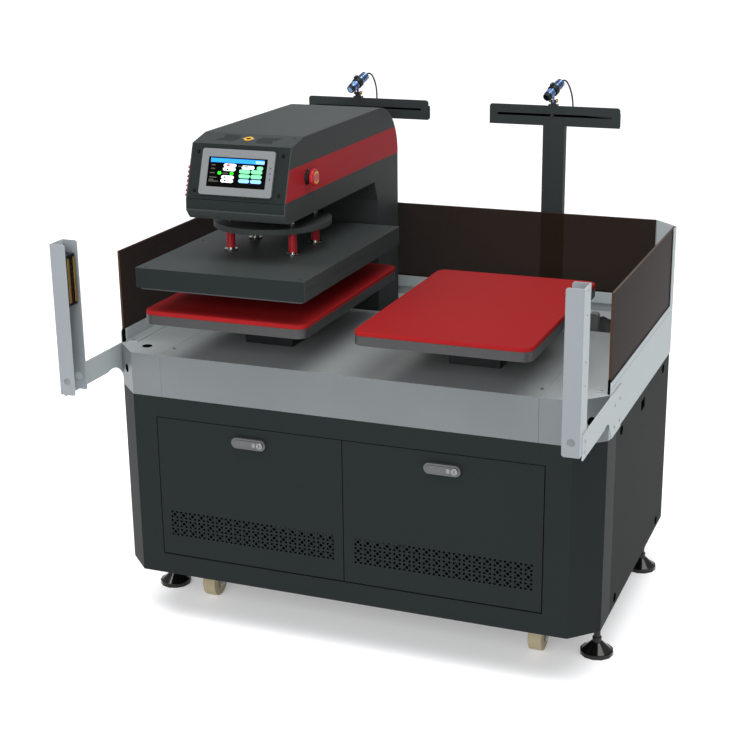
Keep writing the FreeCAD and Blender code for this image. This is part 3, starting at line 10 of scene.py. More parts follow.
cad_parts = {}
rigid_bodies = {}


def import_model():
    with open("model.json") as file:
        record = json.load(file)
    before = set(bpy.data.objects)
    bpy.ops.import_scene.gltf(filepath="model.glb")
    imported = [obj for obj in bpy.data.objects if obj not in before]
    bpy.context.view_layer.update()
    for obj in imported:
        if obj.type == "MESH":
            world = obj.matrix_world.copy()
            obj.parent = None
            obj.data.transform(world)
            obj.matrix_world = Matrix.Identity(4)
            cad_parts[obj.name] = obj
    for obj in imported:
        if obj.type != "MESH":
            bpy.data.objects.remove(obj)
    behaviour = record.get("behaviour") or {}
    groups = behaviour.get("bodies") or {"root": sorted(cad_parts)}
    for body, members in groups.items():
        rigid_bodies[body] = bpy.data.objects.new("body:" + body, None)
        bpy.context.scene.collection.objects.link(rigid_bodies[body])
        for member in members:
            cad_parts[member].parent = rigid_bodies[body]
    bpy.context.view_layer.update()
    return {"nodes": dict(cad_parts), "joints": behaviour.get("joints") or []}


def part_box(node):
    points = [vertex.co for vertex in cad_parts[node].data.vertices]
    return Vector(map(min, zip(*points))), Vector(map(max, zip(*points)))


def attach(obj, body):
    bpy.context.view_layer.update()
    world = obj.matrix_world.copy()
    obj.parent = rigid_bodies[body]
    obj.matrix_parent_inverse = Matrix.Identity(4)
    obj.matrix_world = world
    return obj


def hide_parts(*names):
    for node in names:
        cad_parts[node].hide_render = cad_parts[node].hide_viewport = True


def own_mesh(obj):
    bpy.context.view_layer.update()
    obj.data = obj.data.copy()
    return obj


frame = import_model()
MM = 0.001

# ---------------------------------------- places, from the frame
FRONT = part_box("front_fascia")[0].y
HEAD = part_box("head_sides")
HEAD_X = (HEAD[0].x + HEAD[1].x) / 2
HEAD_HALF = (HEAD[1].x - HEAD[0].x) / 2
STATION = -HEAD_X
JOINTS = {j["name"]: j for j in frame["joints"]}
CORNERS = [f"{end}_{side}" for end in ("front", "rear") for side in ("left", "right")]
WHEELS = [f"castor_wheel_{corner}" for corner in CORNERS]
FEET = [f"foot_{corner}" for corner in CORNERS]


def deep(millimetres):
    """A depth measured back from the cabinet's front, in the frame."""
    return FRONT + millimetres * MM


def joint_place(name):
    """Where a joint's axis passes, in the frame."""
    return Vector(JOINTS[name]["pos_m"])


def show(item):
    """A new object joins the scene."""
    bpy.context.scene.collection.objects.link(item)
    return item


# side view of the head's front, as (depth, height)
FACE_LOW = (deep(21), 1.064)
FACE_TOP = (deep(66), 1.187)
FACET_BACK = (deep(132), HEAD[1].z)
BACK_ROUND = 0.130
STRIPE = (1.070, 1.140)
STRIPE_THICK = 0.0004
LOUVRE_PITCH = 0.010

# ---------------------------------------- camera
CAMERA_PLACE = (1.2616, -3.3284, 1.7461)
CAMERA_HEADING = -0.3747
CAMERA_PITCH = -0.31375
CAMERA_ROLL = -0.01116
CAMERA_LENS = 72.94


def make_camera():
    """The camera at the viewing angle, set by heading, pitch and roll."""
    forward = Vector((math.sin(CAMERA_HEADING) * math.cos(CAMERA_PITCH),
                      math.cos(CAMERA_HEADING) * math.cos(CAMERA_PITCH), math.sin(CAMERA_PITCH)))
    flat_right = forward.cross(Vector((0, 0, 1))).normalized()
    flat_up = flat_right.cross(forward)
    right = math.cos(CAMERA_ROLL) * flat_right + math.sin(CAMERA_ROLL) * flat_up
    up = math.cos(CAMERA_ROLL) * flat_up - math.sin(CAMERA_ROLL) * flat_right
    data = bpy.data.cameras.new("camera")
    data.lens = CAMERA_LENS
    data.sensor_width = 36
    data.clip_end = 200
    camera = bpy.data.objects.new("camera", data)
    turn = Matrix((right, up, -forward)).transposed().to_4x4()
    camera.matrix_world = Matrix.Translation(CAMERA_PLACE) @ turn
    bpy.context.scene.camera = show(camera)


# ---------------------------------------- materials
# metres between the bands of a wave texture whose scale is 1
WAVE_PERIOD = 0.314


def link(tree, source, output, target, field):
    tree.links.new(source.outputs[output], target.inputs[field])


def noise(tree, scale, stretch=(1, 1, 1)):
    """A noise texture in the frame's own metres, stretched along an axis for brushed or drawn metal."""
    place = tree.nodes.new("ShaderNodeTexCoord")
    mapping = tree.nodes.new("ShaderNodeMapping")
    mapping.inputs["Scale"].default_value = stretch
    texture = tree.nodes.new("ShaderNodeTexNoise")
    texture.inputs["Scale"].default_value = scale
    texture.inputs["Detail"].default_value = 3
    link(tree, place, "Object", mapping, "Vector")
    link(tree, mapping, "Vector", texture, "Vector")
    return texture


def remap(tree, texture, low, high):
    """A noise texture's middle values spread from low to high."""
    node = tree.nodes.new("ShaderNodeMapRange")
    node.inputs["From Min"].default_value = 0.3
    node.inputs["From Max"].default_value = 0.7
    node.inputs["To Min"].default_value = low
    node.inputs["To Max"].default_value = high
    link(tree, texture, "Fac", node, "Value")
    return node


def shader_of(material):
    return material.node_tree.nodes["Principled BSDF"]


def surface(name, colour, rough, metal=0.0, patch=0.08, patch_scale=6, grain=900, stretch=(1, 1, 1),
            rough_by=0.06, bump=0.1, depth=0.05, specular=0.5):
    """A finish whose colour drifts in soft patches and whose fine grain moves its roughness and relief."""
    material = bpy.data.materials.new(name)
    material.use_nodes = True
    tree = material.node_tree
    shader = shader_of(material)
    shader.inputs["Metallic"].default_value = metal
    shader.inputs["Specular IOR Level"].default_value = specular

    blotch = noise(tree, patch_scale)
    mix = tree.nodes.new("ShaderNodeMix")
    mix.data_type = "RGBA"
    mix.inputs["A"].default_value = (*[c * (1 - patch) for c in colour], 1)
    mix.inputs["B"].default_value = (*[min(1.0, c * (1 + patch)) for c in colour], 1)
    link(tree, blotch, "Fac", mix, "Factor")
    link(tree, mix, "Result", shader, "Base Color")

    fine = noise(tree, grain, stretch)
    link(tree, remap(tree, fine, rough - rough_by, rough + rough_by), "Result", shader, "Roughness")
    relief = tree.nodes.new("ShaderNodeBump")
    relief.inputs["Strength"].default_value = bump
    relief.inputs["Distance"].default_value = depth * MM
    link(tree, fine, "Fac", relief, "Height")
    link(tree, relief, "Normal", shader, "Normal")
    return material


def ribbed(name, colour, rough, pitch, axis):
    """Turned metal with a thread of a given pitch along an axis."""
    material = surface(name, colour, rough, 1.0, grain=400, bump=0.05)
    tree = material.node_tree
    place = tree.nodes.new("ShaderNodeTexCoord")
    wave = tree.nodes.new("ShaderNodeTexWave")
    wave.bands_direction = axis
    wave.inputs["Scale"].default_value = WAVE_PERIOD / pitch
    link(tree, place, "Object", wave, "Vector")
    relief = tree.nodes.new("ShaderNodeBump")
    relief.inputs["Strength"].default_value = 0.6
    relief.inputs["Distance"].default_value = pitch / 4
    link(tree, wave, "Fac", relief, "Height")
    link(tree, relief, "Normal", shader_of(material), "Normal")
    return material


def light_up(material, colour, glow):
    """A finish that gives off its own light."""
    shader = shader_of(material)
    shader.inputs["Emission Color"].default_value = (*colour, 1)
    shader.inputs["Emission Strength"].default_value = glow


def glowing(name, colour, glow):
    """A lit area of the display."""
    material = surface(name, colour, 0.25, patch=0.1, patch_scale=160, grain=1500, bump=0.02)
    light_up(material, colour, glow)
    return material


def tinted(name, colour, alpha):
    """Dark translucent acrylic sheet."""
    material = surface(name, colour, 0.13, patch=0.12, patch_scale=3, grain=60, rough_by=0.03, bump=0.02,
                       specular=0.002)
    shader_of(material).inputs["Alpha"].default_value = alpha
    return material


def make_materials():
    """Every finish of the machine, by name."""
    return {
        "powder": surface("powder_grey", (0.0125, 0.0158, 0.0158), 0.52, patch=0.07, patch_scale=2.5,
            grain=1400, rough_by=0.07, bump=0.12, depth=0.06, specular=0.05),
        # a lighter copy of the dark grey powder coat for the side panels: painted light, as the sides catch
        # more light than the front
        "powder_side_painted_light": surface("powder_side_painted_light", (0.0170, 0.0195, 0.0190), 0.52, patch=0.07, patch_scale=2.5,
            grain=1400, rough_by=0.07, bump=0.12, depth=0.06, specular=0.015),
        "powder_mast": surface("powder_mast", (0.025, 0.0305, 0.0305), 0.52, patch=0.06, patch_scale=5,
            grain=1400, rough_by=0.07, bump=0.12, depth=0.06, specular=0.06),
        # a lighter copy of the dark grey powder coat for the head's casing, the platen cover and the pressure
        # disc: painted light for the head's brightly lit top
        "powder_head_painted_light": surface("powder_head_painted_light", (0.034, 0.040, 0.039), 0.52, patch=0.06, patch_scale=4,
            grain=1500, rough_by=0.07, depth=0.06, specular=0.06),
        "red_paint": surface("red_paint", (0.285, 0.017, 0.022), 0.48, patch=0.05, patch_scale=5,
            grain=1400, rough_by=0.05, bump=0.05, depth=0.04, specular=0.03),
        "brushed": surface("brushed_top", (0.300, 0.322, 0.325), 0.38, 0.12, patch=0.11, patch_scale=4.0,
            grain=620, stretch=(1, 0.01, 0.01), rough_by=0.05, bump=0.04, depth=0.02, specular=0.35),
        # a darker copy of the brushed steel for the deck's front faces: painted shade, with the deck's top
        # kept lighter
        "apron_painted_shade": surface("brushed_front_painted_shade", (0.128, 0.141, 0.146), 0.38, 0.12, patch=0.14, patch_scale=4.0,
            grain=620, stretch=(0.01, 1, 0.01), rough_by=0.05, bump=0.04, depth=0.02, specular=0.3),
        # a darker copy of the silver paint for the front faces of the light curtain's posts: painted shade
        "silver_front_painted_shade": surface("silver_front_painted_shade", (0.205, 0.222, 0.236), 0.45, patch=0.03, patch_scale=5,
            grain=1300, bump=0.08, specular=0.05),
        "cast": surface("cast_grey", (0.12, 0.125, 0.125), 0.5, patch=0.1, patch_scale=20, specular=0.2),
        "silver": surface("silver_paint", (0.39, 0.43, 0.44), 0.45, patch=0.03, patch_scale=5, grain=1300,
            bump=0.08, specular=0.05),
        "acrylic": tinted("tinted_sheet", (0.019, 0.0115, 0.0085), 0.93),
        "acrylic_edge": surface("acrylic_edge", (0.050, 0.026, 0.016), 0.22, patch=0.2, patch_scale=40,
            grain=300, specular=0.05),
        "platen": surface("platen_alu", (0.045, 0.045, 0.046), 0.38, 0.45, patch=0.06, patch_scale=8,
            grain=650, stretch=(0.01, 0.01, 1), rough_by=0.08, depth=0.02, specular=0.3),
        "silicone": surface("red_silicone", (0.225, 0.0095, 0.0105), 0.60, patch=0.04, patch_scale=9,
            grain=1100, bump=0.22, depth=0.08, specular=0.03),
        "chrome": surface("bright_steel", (0.36, 0.355, 0.34), 0.16, 1.0, patch=0.05, patch_scale=20,
            grain=500, rough_by=0.03, bump=0.03, depth=0.02),
        "foot_chrome": surface("foot_chrome", (0.035, 0.035, 0.033), 0.14, 0.9, patch_scale=30, grain=600,
            rough_by=0.04, bump=0.04, depth=0.02),
        "steel": surface("steel", (0.32, 0.33, 0.34), 0.32, 1.0, patch_scale=14, grain=600,
            stretch=(1, 0.01, 0.01), rough_by=0.08, depth=0.02),
        "ball_screw": ribbed("screw_steel", (0.45, 0.45, 0.44), 0.18, 0.010, "X"),
        "black_steel": surface("black_steel", (0.010, 0.011, 0.012), 0.42, patch=0.2, patch_scale=12,
            rough_by=0.08, bump=0.12, specular=0.25),
        "spring": surface("spring_red", (0.30, 0.008, 0.014), 0.34, patch=0.1, patch_scale=60, bump=0.08,
            specular=0.3),
        "rubber": surface("black_rubber", (0.0025, 0.0025, 0.0025), 0.62, patch=0.2, patch_scale=40,
            grain=1500, bump=0.2, specular=0.0),
        "sensor": surface("sensor_case", (0.008, 0.008, 0.008), 0.26, patch=0.2, patch_scale=30, grain=1200,
            bump=0.05, specular=0.3),
        "gold": surface("gold_strip", (0.42, 0.27, 0.07), 0.32, 0.7, patch=0.15, patch_scale=50, bump=0.05),
        "lens": surface("sensor_lens", (0.008, 0.006, 0.005), 0.20, patch=0.2, patch_scale=50,
            rough_by=0.03, bump=0.02, specular=0.15),
        "panel": surface("panel_case", (0.140, 0.148, 0.152), 0.40, patch=0.04, patch_scale=20, grain=1800,
            rough_by=0.05, depth=0.04, specular=0.25),
        "glass": surface("screen_glass", (0.0015, 0.0015, 0.0015), 0.14, patch=0.2, patch_scale=30,
            rough_by=0.02, bump=0.01, specular=0.04),
        "stop": surface("stop_red", (0.36, 0.010, 0.016), 0.30, patch=0.06, patch_scale=60, grain=1200,
            rough_by=0.04, bump=0.04, specular=0.35),
        "yellow": surface("stop_yellow", (0.55, 0.46, 0.03), 0.38, patch=0.06, patch_scale=80, grain=1200,
            bump=0.04, specular=0.2),
        "amber": surface("amber_ring", (0.60, 0.33, 0.02), 0.34, patch=0.1, patch_scale=80, grain=1200,
            bump=0.05, specular=0.2),
        "pale": surface("pale_mark", (0.55, 0.58, 0.64), 0.38, patch=0.05, patch_scale=80, grain=1200,
            bump=0.05),
        "nylon": surface("nylon", (0.36, 0.31, 0.20), 0.48, patch=0.1, patch_scale=25, rough_by=0.07,
            bump=0.12, specular=0.2),
        "laser": surface("laser_steel", (0.12, 0.20, 0.36), 0.13, 1.0, patch=0.15, patch_scale=60,
            rough_by=0.05, bump=0.05),
        "brass": surface("brass", (0.45, 0.27, 0.10), 0.26, 1.0, patch=0.1, patch_scale=60, bump=0.05),
        "jacket": surface("lead_jacket", (0.012, 0.014, 0.018), 0.46, patch=0.15, patch_scale=60,
            grain=1500, specular=0.25),
        "latch": surface("latch_zinc", (0.085, 0.088, 0.090), 0.36, 0.55, patch_scale=40, grain=1200,
            bump=0.12),
        "latch_rim": surface("latch_rim", (0.20, 0.205, 0.21), 0.30, 0.75, patch_scale=40, grain=1200),
        "seam": surface("seam_shade", (0.17, 0.185, 0.185), 0.6, patch=0.05, patch_scale=9, specular=0.05),
        # dark marks: the own dark colour of the lamps and the badge, and the painted shade of the key slots
        "dark": surface("dark_and_recess_shade", (0.003, 0.003, 0.003), 0.7, patch=0.2, patch_scale=60, specular=0.1),
        "blue_bar": glowing("screen_blue", (0.01, 0.20, 0.80), 0.75),
        "blue_pill": glowing("screen_pale_blue", (0.19, 0.40, 0.80), 0.5),
        "white_pill": glowing("screen_white", (0.80, 0.84, 0.87), 0.6),
        "green_pill": glowing("screen_green", (0.15, 0.62, 0.27), 0.42),
        "green_dot": glowing("screen_dot", (0.01, 0.70, 0.01), 0.8),
        "red_dot": glowing("screen_red", (0.85, 0.01, 0.02), 0.8),
        "grey_mark": glowing("screen_grey", (0.05, 0.045, 0.04), 0.5),
    }


# finishes and the pieces that have them
NODE_FINISH = {
    "powder": ["front_fascia", "rear_panel", "floor_pan", "door_left", "door_right", "head_front_panel"],
    "powder_side_painted_light": ["side_panels"],
    "powder_mast": ["laser_masts"],
    "powder_head_painted_light": ["head_sides", "head_cover", "head_under_cover", "pressure_disc", "platen_cover"],
    "brushed": ["deck_panels"],
    "silver": ["guard_frame", "curtain_arms", "curtain_posts", "control_box"],
    "acrylic": ["guard_panels"],
    "platen": ["lower_platens", "heat_plate"],
    "black_steel": ["base_frame", "platen_supports", "head_frame", "head_screws", "laser_clamp_left",
                    "laser_clamp_right"],
    "cast": ["traverse_drive"],
    "steel": ["linear_rails", "carriage", "machine_screws", "press_actuator"],
    "chrome": ["press_ram", "spring_cups", "castor_mounts", "castor_fork_front_left",
               "castor_fork_front_right"],
    "foot_chrome": FEET,
    "ball_screw": ["traverse_screw"],
    "rubber": ["rubber_trim"],
    "sensor": ["curtain_sensors", "estop_collar", "power_inlet"],
    "panel": ["hmi_panel"],
    "stop": ["estop_button"],
    "nylon": WHEELS,
    "laser": ["laser_tube_left", "laser_tube_right"],
    "latch": ["latch_left", "latch_right"],
    "jacket": ["laser_lead_left", "laser_lead_right"],
    "silicone": ["silicone_pads"],
    "spring": ["press_springs"],
}
# faces of a piece that look one way and have a finish of their own: the darker copies on the front faces of
# the deck, the platen cover and the posts are painted shade
FACING = [("deck_panels", (0, -1, 0), "apron_painted_shade"), ("platen_cover", (0, -1, 0), "powder"),
          ("curtain_posts", (0, -1, 0), "silver_front_painted_shade"), ("guard_frame", (0, 0, 1), "brushed")]
# sheets whose rows of openings a single flat face can't hold
SLOTTED = ("rear_panel", "door_left", "door_right")
# pieces by the width of their round edges in millimetres
SOFT_EDGE = {
    0.4: ["guard_frame"],
    0.5: ["curtain_posts", "door_left", "door_right", "laser_masts", "rubber_trim",
          "traverse_drive", "spring_cups"] + FEET,
    0.6: ["curtain_arms", "deck_panels", "side_panels", "rear_panel", "heat_plate",
          "curtain_sensors", "carriage"],
    0.7: ["head_sides", "head_cover", "head_front_panel"],
    0.8: ["lower_platens", "estop_collar", "front_fascia"],
    1.0: ["latch_left", "latch_right", "control_box"],
    1.2: ["platen_supports", "pressure_disc"],
    1.6: ["platen_cover", "hmi_panel", "estop_button"],
    3.0: WHEELS,
}


def weld(item, name):
    """Corners that share a place become one."""
    joined = item.modifiers.new(name, "WELD")
    joined.merge_threshold = 0.00001


def flatten(item):
    """The triangles of a flat face become one face."""
    flat = item.modifiers.new("flat", "DECIMATE")
    flat.decimate_type = "DISSOLVE"
    flat.angle_limit = math.radians(0.6)


def round_edges(item, width):
    """Small round edges, as folded sheet and machined metal have."""
    bevel = item.modifiers.new("edges", "BEVEL")
    bevel.width = width * MM
    bevel.segments = 2
    bevel.limit_method = "ANGLE"
    bevel.angle_limit = math.radians(38)
    bevel.use_clamp_overlap = True
    bevel.miter_outer = "MITER_ARC"


def even_shading(item):
    """Flat faces that look flat up to their round edges."""
    shade = item.modifiers.new("shade", "WEIGHTED_NORMAL")
    shade.keep_sharp = False


def finish_nodes(looks):
    """The listed CAD pieces get their finishes, and those listed by edge width get small round edges."""
    for look, nodes in NODE_FINISH.items():
        for node in nodes:
            item = frame["nodes"][node]
            item.data.materials.clear()
            item.data.materials.append(looks[look])
    for node, way, look in FACING:
        mesh = frame["nodes"][node].data
        mesh.materials.append(looks[look])
        for face in mesh.polygons:
            if face.normal.dot(Vector(way)) > 0.6:
                face.material_index = 1
    for width, nodes in SOFT_EDGE.items():
        for node in nodes:
            item = frame["nodes"][node]
            weld(item, "weld")
            if node not in SLOTTED:
                flatten(item)
            round_edges(item, width)
            even_shading(item)


# ---------------------------------------- mesh helpers
def new_item(name, shape):
    """A new object from a bmesh, its faces all turned outward."""
    mesh = bpy.data.meshes.new(name)
    bmesh.ops.recalc_face_normals(shape, faces=shape.faces)
    shape.to_mesh(mesh)
    shape.free()
    return show(bpy.data.objects.new(name, mesh))


def piece(name, shape, body, looks, edge=0.0):
    """A new piece from a bmesh: its finish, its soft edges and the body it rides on."""
    item = new_item(name, shape)
    for look in looks:
        item.data.materials.append(look)
    for face in item.data.polygons:
        face.use_smooth = True
    if edge:
        round_edges(item, edge)
    even_shading(item)
    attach(item, body)
    return item


def basis(origin, u, v, w):
    """A frame of three axes at a place: local (u, v, w) to the machine's own."""
    turn = Matrix([Vector(axis).normalized() for axis in (u, v, w)]).transposed().to_4x4()
    return Matrix.Translation(origin) @ turn


def upright(place):
    """Local axes at a place: u right, v back, w up."""
    return Matrix.Translation(place)


def front_on(place):
    """Local axes at a place: u right, v up, w to the front."""
    return basis(place, (1, 0, 0), (0, 0, 1), (0, -1, 0))


def side_on(place, way=1):
    """Local axes at a place: w to the right when way is 1 or to the left when it is -1, v up."""
    return basis(place, (0, way, 0), (0, 0, 1), (way, 0, 0))


def skin(shape, rings, look=0):
    """Rings of corners joined one to the next, and a cap on the first and on the last."""
    faces = [shape.faces.new(list(reversed(rings[0]))), shape.faces.new(rings[-1])]
    for a, b in zip(rings, rings[1:]):
        for i in range(len(a)):
            j = (i + 1) % len(a)
            faces.append(shape.faces.new((a[i], a[j], b[j], b[i])))
    for face in faces:
        face.material_index = look


def add_prism(shape, outline, low, high, place, look=0):
    """A flat outline in local u, v drawn out from w low to w high."""
    skin(shape, [[shape.verts.new(place @ Vector((u, v, w))) for u, v in outline] for w in (low, high)],
         look)


def add_lathe(shape, profile, place, look=0, steps=48):
    """A profile of (radius, height) turned about local w, closed where its radius is 0."""
    rings = []
    for radius, height in profile:
        spots = circle(radius, steps=steps) if radius else [(0, 0)]
        rings.append([shape.verts.new(place @ Vector((u, v, height))) for u, v in spots])
    for low, high in zip(rings, rings[1:]):
        for i in range(steps):
            j = (i + 1) % steps
            corners = [low[i % len(low)], low[j % len(low)], high[j % len(high)], high[i % len(high)]]
            distinct = list(dict.fromkeys(corners))
            if len(distinct) > 2:
                shape.faces.new(distinct).material_index = look


def rounded(half_u, half_v, radius, centre=(0, 0), steps=6):
    """The outline of a rectangle with round corners."""
    points = []
    for corner in range(4):
        mid_u = centre[0] + (half_u - radius) * (1 if corner in (0, 3) else -1)
        mid_v = centre[1] + (half_v - radius) * (1 if corner in (0, 1) else -1)
        for i in range(steps + 1):
            angle = math.pi / 2 * (corner + i / steps)
            points.append((mid_u + radius * math.cos(angle), mid_v + radius * math.sin(angle)))
    return points


def oblong(low_u, high_u, low_v, high_v):
    """The outline of a rectangle with sharp corners."""
    return [(low_u, low_v), (high_u, low_v), (high_u, high_v), (low_u, high_v)]


def circle(radius, centre=(0, 0), steps=16):
    """The outline of a circle."""
    return [(centre[0] + radius * math.cos(2 * math.pi * i / steps),
             centre[1] + radius * math.sin(2 * math.pi * i / steps)) for i in range(steps)]


# how far a cutter reaches below and above a sheet's face
CUT_DEEP = (-0.004, 0.002)


def cut_node(node, name, shape):
    """Real holes in a CAD piece, by a cutter that travels with its body and is never shown."""
    cutter = new_item(name, shape)
    cutter.hide_render = True
    cutter.hide_viewport = True
    item = frame["nodes"][node]
    cutter.parent = item.parent
    weld(item, "weld_cut")
    holes = item.modifiers.new("holes", "BOOLEAN")
    holes.operation = "DIFFERENCE"
    holes.solver = "EXACT"
    holes.object = cutter


# ---------------------------------------- doors
VENT_COLUMNS = 18
VENT_ROWS = 3
VENT_START = {"left": -0.4555, "right": 0.0245}
VENT_LOW = 0.232
VENT_PITCH = (0.0241, 0.0228)
GRIP_MID = 0.0435
CATCH_MID = -0.0145


def vent_holes(low_x):
    """Rows of a round hole inside four corner brackets, for one door."""
    shape = bmesh.new()
    place = front_on((0, FRONT, 0))
    reach, arm, gap = 0.0092, 0.0030, 0.0036
    for column in range(VENT_COLUMNS):
        for row in range(VENT_ROWS):
            x = low_x + VENT_PITCH[0] * (column + 0.5)
            z = VENT_LOW + VENT_PITCH[1] * (row + 0.5)
            add_prism(shape, circle(0.0040, (x, z), 12), *CUT_DEEP, place)
            for side_u in (-1, 1):
                for side_v in (-1, 1):
                    corner = [(reach, gap), (reach, reach), (gap, reach), (gap, reach - arm),
                              (reach - arm - 0.0014, reach - arm - 0.0014), (reach - arm, gap)]
                    outline = [(x + side_u * u, z + side_v * v) for u, v in corner]
                    if side_u * side_v < 0:
                        outline.reverse()
                    add_prism(shape, outline, *CUT_DEEP, place)
    return shape


def doors(looks):
    """Vent patterns, and on each latch a raised grip, a lock barrel and its key slot, a dark patch of painted
    shade.
    """
    for side in ("left", "right"):
        cut_node(f"door_{side}", f"vent_cutter_{side}", vent_holes(VENT_START[side]))
        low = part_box(f"latch_{side}")[0]
        swivel = joint_place(f"latch_{side}_turn")
        mid = (low.x + GRIP_MID, low.y, swivel.z)
        place = front_on(mid)
        shape = bmesh.new()
        add_prism(shape, rounded(0.0385, 0.0085, 0.0084, (-0.0005, 0), 8), 0, 0.0022, place)
        piece(f"latch_grip_{side}", shape, f"latch_{side}", [looks["latch"]], 0.9)
        shape = bmesh.new()
        lock = front_on((swivel.x, low.y, swivel.z))
        add_lathe(shape, [(0, 0.0020), (0.0078, 0.0020), (0.0082, 0.0026), (0.0082, 0.0034), (0.0074, 0.0040),
                          (0.0058, 0.0040), (0.0055, 0.0036), (0, 0.0036)], lock, 0, 40)
        # the key slot is a dark patch just proud of the barrel's face: painted shade for the slot
        add_prism(shape, rounded(0.0009, 0.0036, 0.0006), 0.0030, 0.0038, lock, 1)
        piece(f"lock_barrel_{side}", shape, f"latch_{side}",
              [looks["latch_rim"], looks["dark"]])
        shape = bmesh.new()
        catch = rounded(0.0040, 0.0052, 0.0012, (swivel.x - mid[0] + CATCH_MID, 0))
        add_prism(shape, catch, 0.0020, 0.0032, place)
        piece(f"latch_catch_{side}", shape, f"latch_{side}", [looks["latch_rim"]], 0.4)


# ---------------------------------------- head
BEZEL_OFF = 0.0015
PANEL_LIFT = 0.0018
SCREEN_SQUASH = 0.895
FACE_SCREWS = (0.105, 0.0445)


def face_place():
    """Local axes on the sloping operator face: u right, v up the slope, w out of it."""
    up = Vector((0, FACE_TOP[0] - FACE_LOW[0], FACE_TOP[1] - FACE_LOW[1])).normalized()
    right = Vector((1, 0, 0))
    mid = Vector((HEAD_X, (FACE_LOW[0] + FACE_TOP[0]) / 2, (FACE_LOW[1] + FACE_TOP[1]) / 2))
    return mid, right, up, right.cross(up)


def display(looks):
    """The screen behind its bezel: a title bar, buttons and lamps with no lettering."""
    mid, right, up, out = face_place()
    mid = mid - BEZEL_OFF * right + PANEL_LIFT * up
    screen = basis(mid + 0.0045 * out, right, up, out) @ Matrix.Diagonal((1, SCREEN_SQUASH, 1, 1))
    shape = bmesh.new()
    add_prism(shape, rounded(0.0728, 0.0378, 0.0010), 0, 0.0006, screen)
    piece("screen_glass", shape, "head", [looks["glass"]], 0.1)

    shape = bmesh.new()
    names = ["blue_bar", "blue_pill", "white_pill", "green_pill", "green_dot", "red_dot", "grey_mark",
             "glass"]

    def area(look, u, v, half_u, half_v, radius, lift=0.0008):
        corner = min(radius, half_u, half_v) * 0.999 * MM
        outline = rounded(half_u * MM, half_v * MM, corner, (u * MM, v * MM))
        add_prism(shape, outline, 0.0005, lift, screen, names.index(look))

    area("blue_bar", -1, 29.5, 66.5, 5.2, 0.5)
    area("blue_pill", 55, 28.6, 11.0, 4.0, 2.5, 0.0010)
    for u, v in ((-18.5, 17.8), (-19.5, 8.0), (-21.5, -12.2), (-22.5, -21.6)):
        area("white_pill", u, v, 15.5, 4.2, 4.0)
    area("red_dot", -23, 18.2, 4.4, 2.6, 2.5, 0.0010)
    for u, v in ((-24, 7.4), (-29, -12.4), (-28, -21.4)):
        area("glass", u, v, 2.8, 1.9, 1.8, 0.0010)
    for u in (-43, -12.5):
        area("green_dot", u, -2.4, 4.6, 4.2, 4.1)
    area("white_pill", 26.5, 14.8, 15.5, 4.6, 4.4)
    area("glass", 22, 16.4, 6.0, 1.5, 1.4, 0.0010)
    area("green_pill", 56, 14.2, 7.6, 4.8, 4.6)
    for u in (19.5, 49.0):
        for v, look in ((4.4, "green_pill"), (-7.4, "green_pill"), (-19.6, "blue_pill")):
            area(look, u, v, 13.6, 4.8, 4.6)
    for u, v, half_u in ((-60, 17, 5), (-60, 8, 5), (-61, -3, 6), (-58, -14, 9), (-56, -24, 12), (8, 17, 6),
                         (-28, -2.6, 7), (-62, -20, 6)):
        area("grey_mark", u, v, half_u, 1.2, 0.6)
    piece("screen_display", shape, "head", [looks[n] for n in names])

    shape = bmesh.new()
    lamps = basis(mid + 0.0060 * out, right, up, out)
    for v in (14.5, 2.0, -11.0):
        ring = lamps @ Matrix.Translation((0.0825, v * MM, 0))
        add_lathe(shape, [(0, 0.0004), (0.0013, 0.0004), (0.0015, 0.0001), (0.0015, -0.0004), (0, -0.0004)],
                  ring, 0, 20)
    piece("panel_lamps", shape, "head", [looks["dark"]])

    shape = bmesh.new()
    for side_u in (-1, 1):
        for side_v in (-1, 1):
            spot = mid + (FACE_SCREWS[0] * side_u + BEZEL_OFF) * right + FACE_SCREWS[1] * side_v * up
            add_lathe(shape, [(0.0013, 0.0012), (0.0015, 0.0022), (0.0029, 0.0021), (0.0036, 0.0011),
                              (0.0037, 0)], basis(spot, right, up, out), 0, 24)
    piece("face_screw_caps", shape, "head", [looks["rubber"]])

    shape = bmesh.new()
    add_prism(shape, rounded(HEAD_HALF - 0.0016, 0.0005, 0.0003, (BEZEL_OFF, -0.0635), 2), -0.0002, 0.0002,
              basis(mid, right, up, out))
    piece("face_seam", shape, "head", [looks["rubber"]])


def facet_place(u, v):
    """A place on the facet behind the face's top edge: u from the head's middle, v back from that edge."""
    back = Vector((0, FACET_BACK[0] - FACE_TOP[0], FACET_BACK[1] - FACE_TOP[1])).normalized()
    right = Vector((1, 0, 0))
    origin = Vector((HEAD_X, FACE_TOP[0], FACE_TOP[1])) + u * right + v * back
    return basis(origin, right, back, right.cross(back))


GRILLE_PITCH = 0.0040
GRILLE_START = -0.0660
GRILLE_BACK = 0.0560
GRILLE_SPAN = 0.0730


def grille(shape, side):
    """Slanting rows of small holes, five of ten and four of twelve, turned round on the right."""
    for row in range(9):
        if row < 5:
            first, count = GRILLE_START + 0.0014 * row, 10
        else:
            first, count = GRILLE_START - 0.0024 * (row - 4), 12
        for i in range(count):
            u = side * -(first + GRILLE_PITCH * i)
            v = GRILLE_BACK - GRILLE_PITCH * row
            if side > 0:
                v = GRILLE_SPAN - v
            add_prism(shape, circle(0.0016, steps=8), *CUT_DEEP, facet_place(u, v))


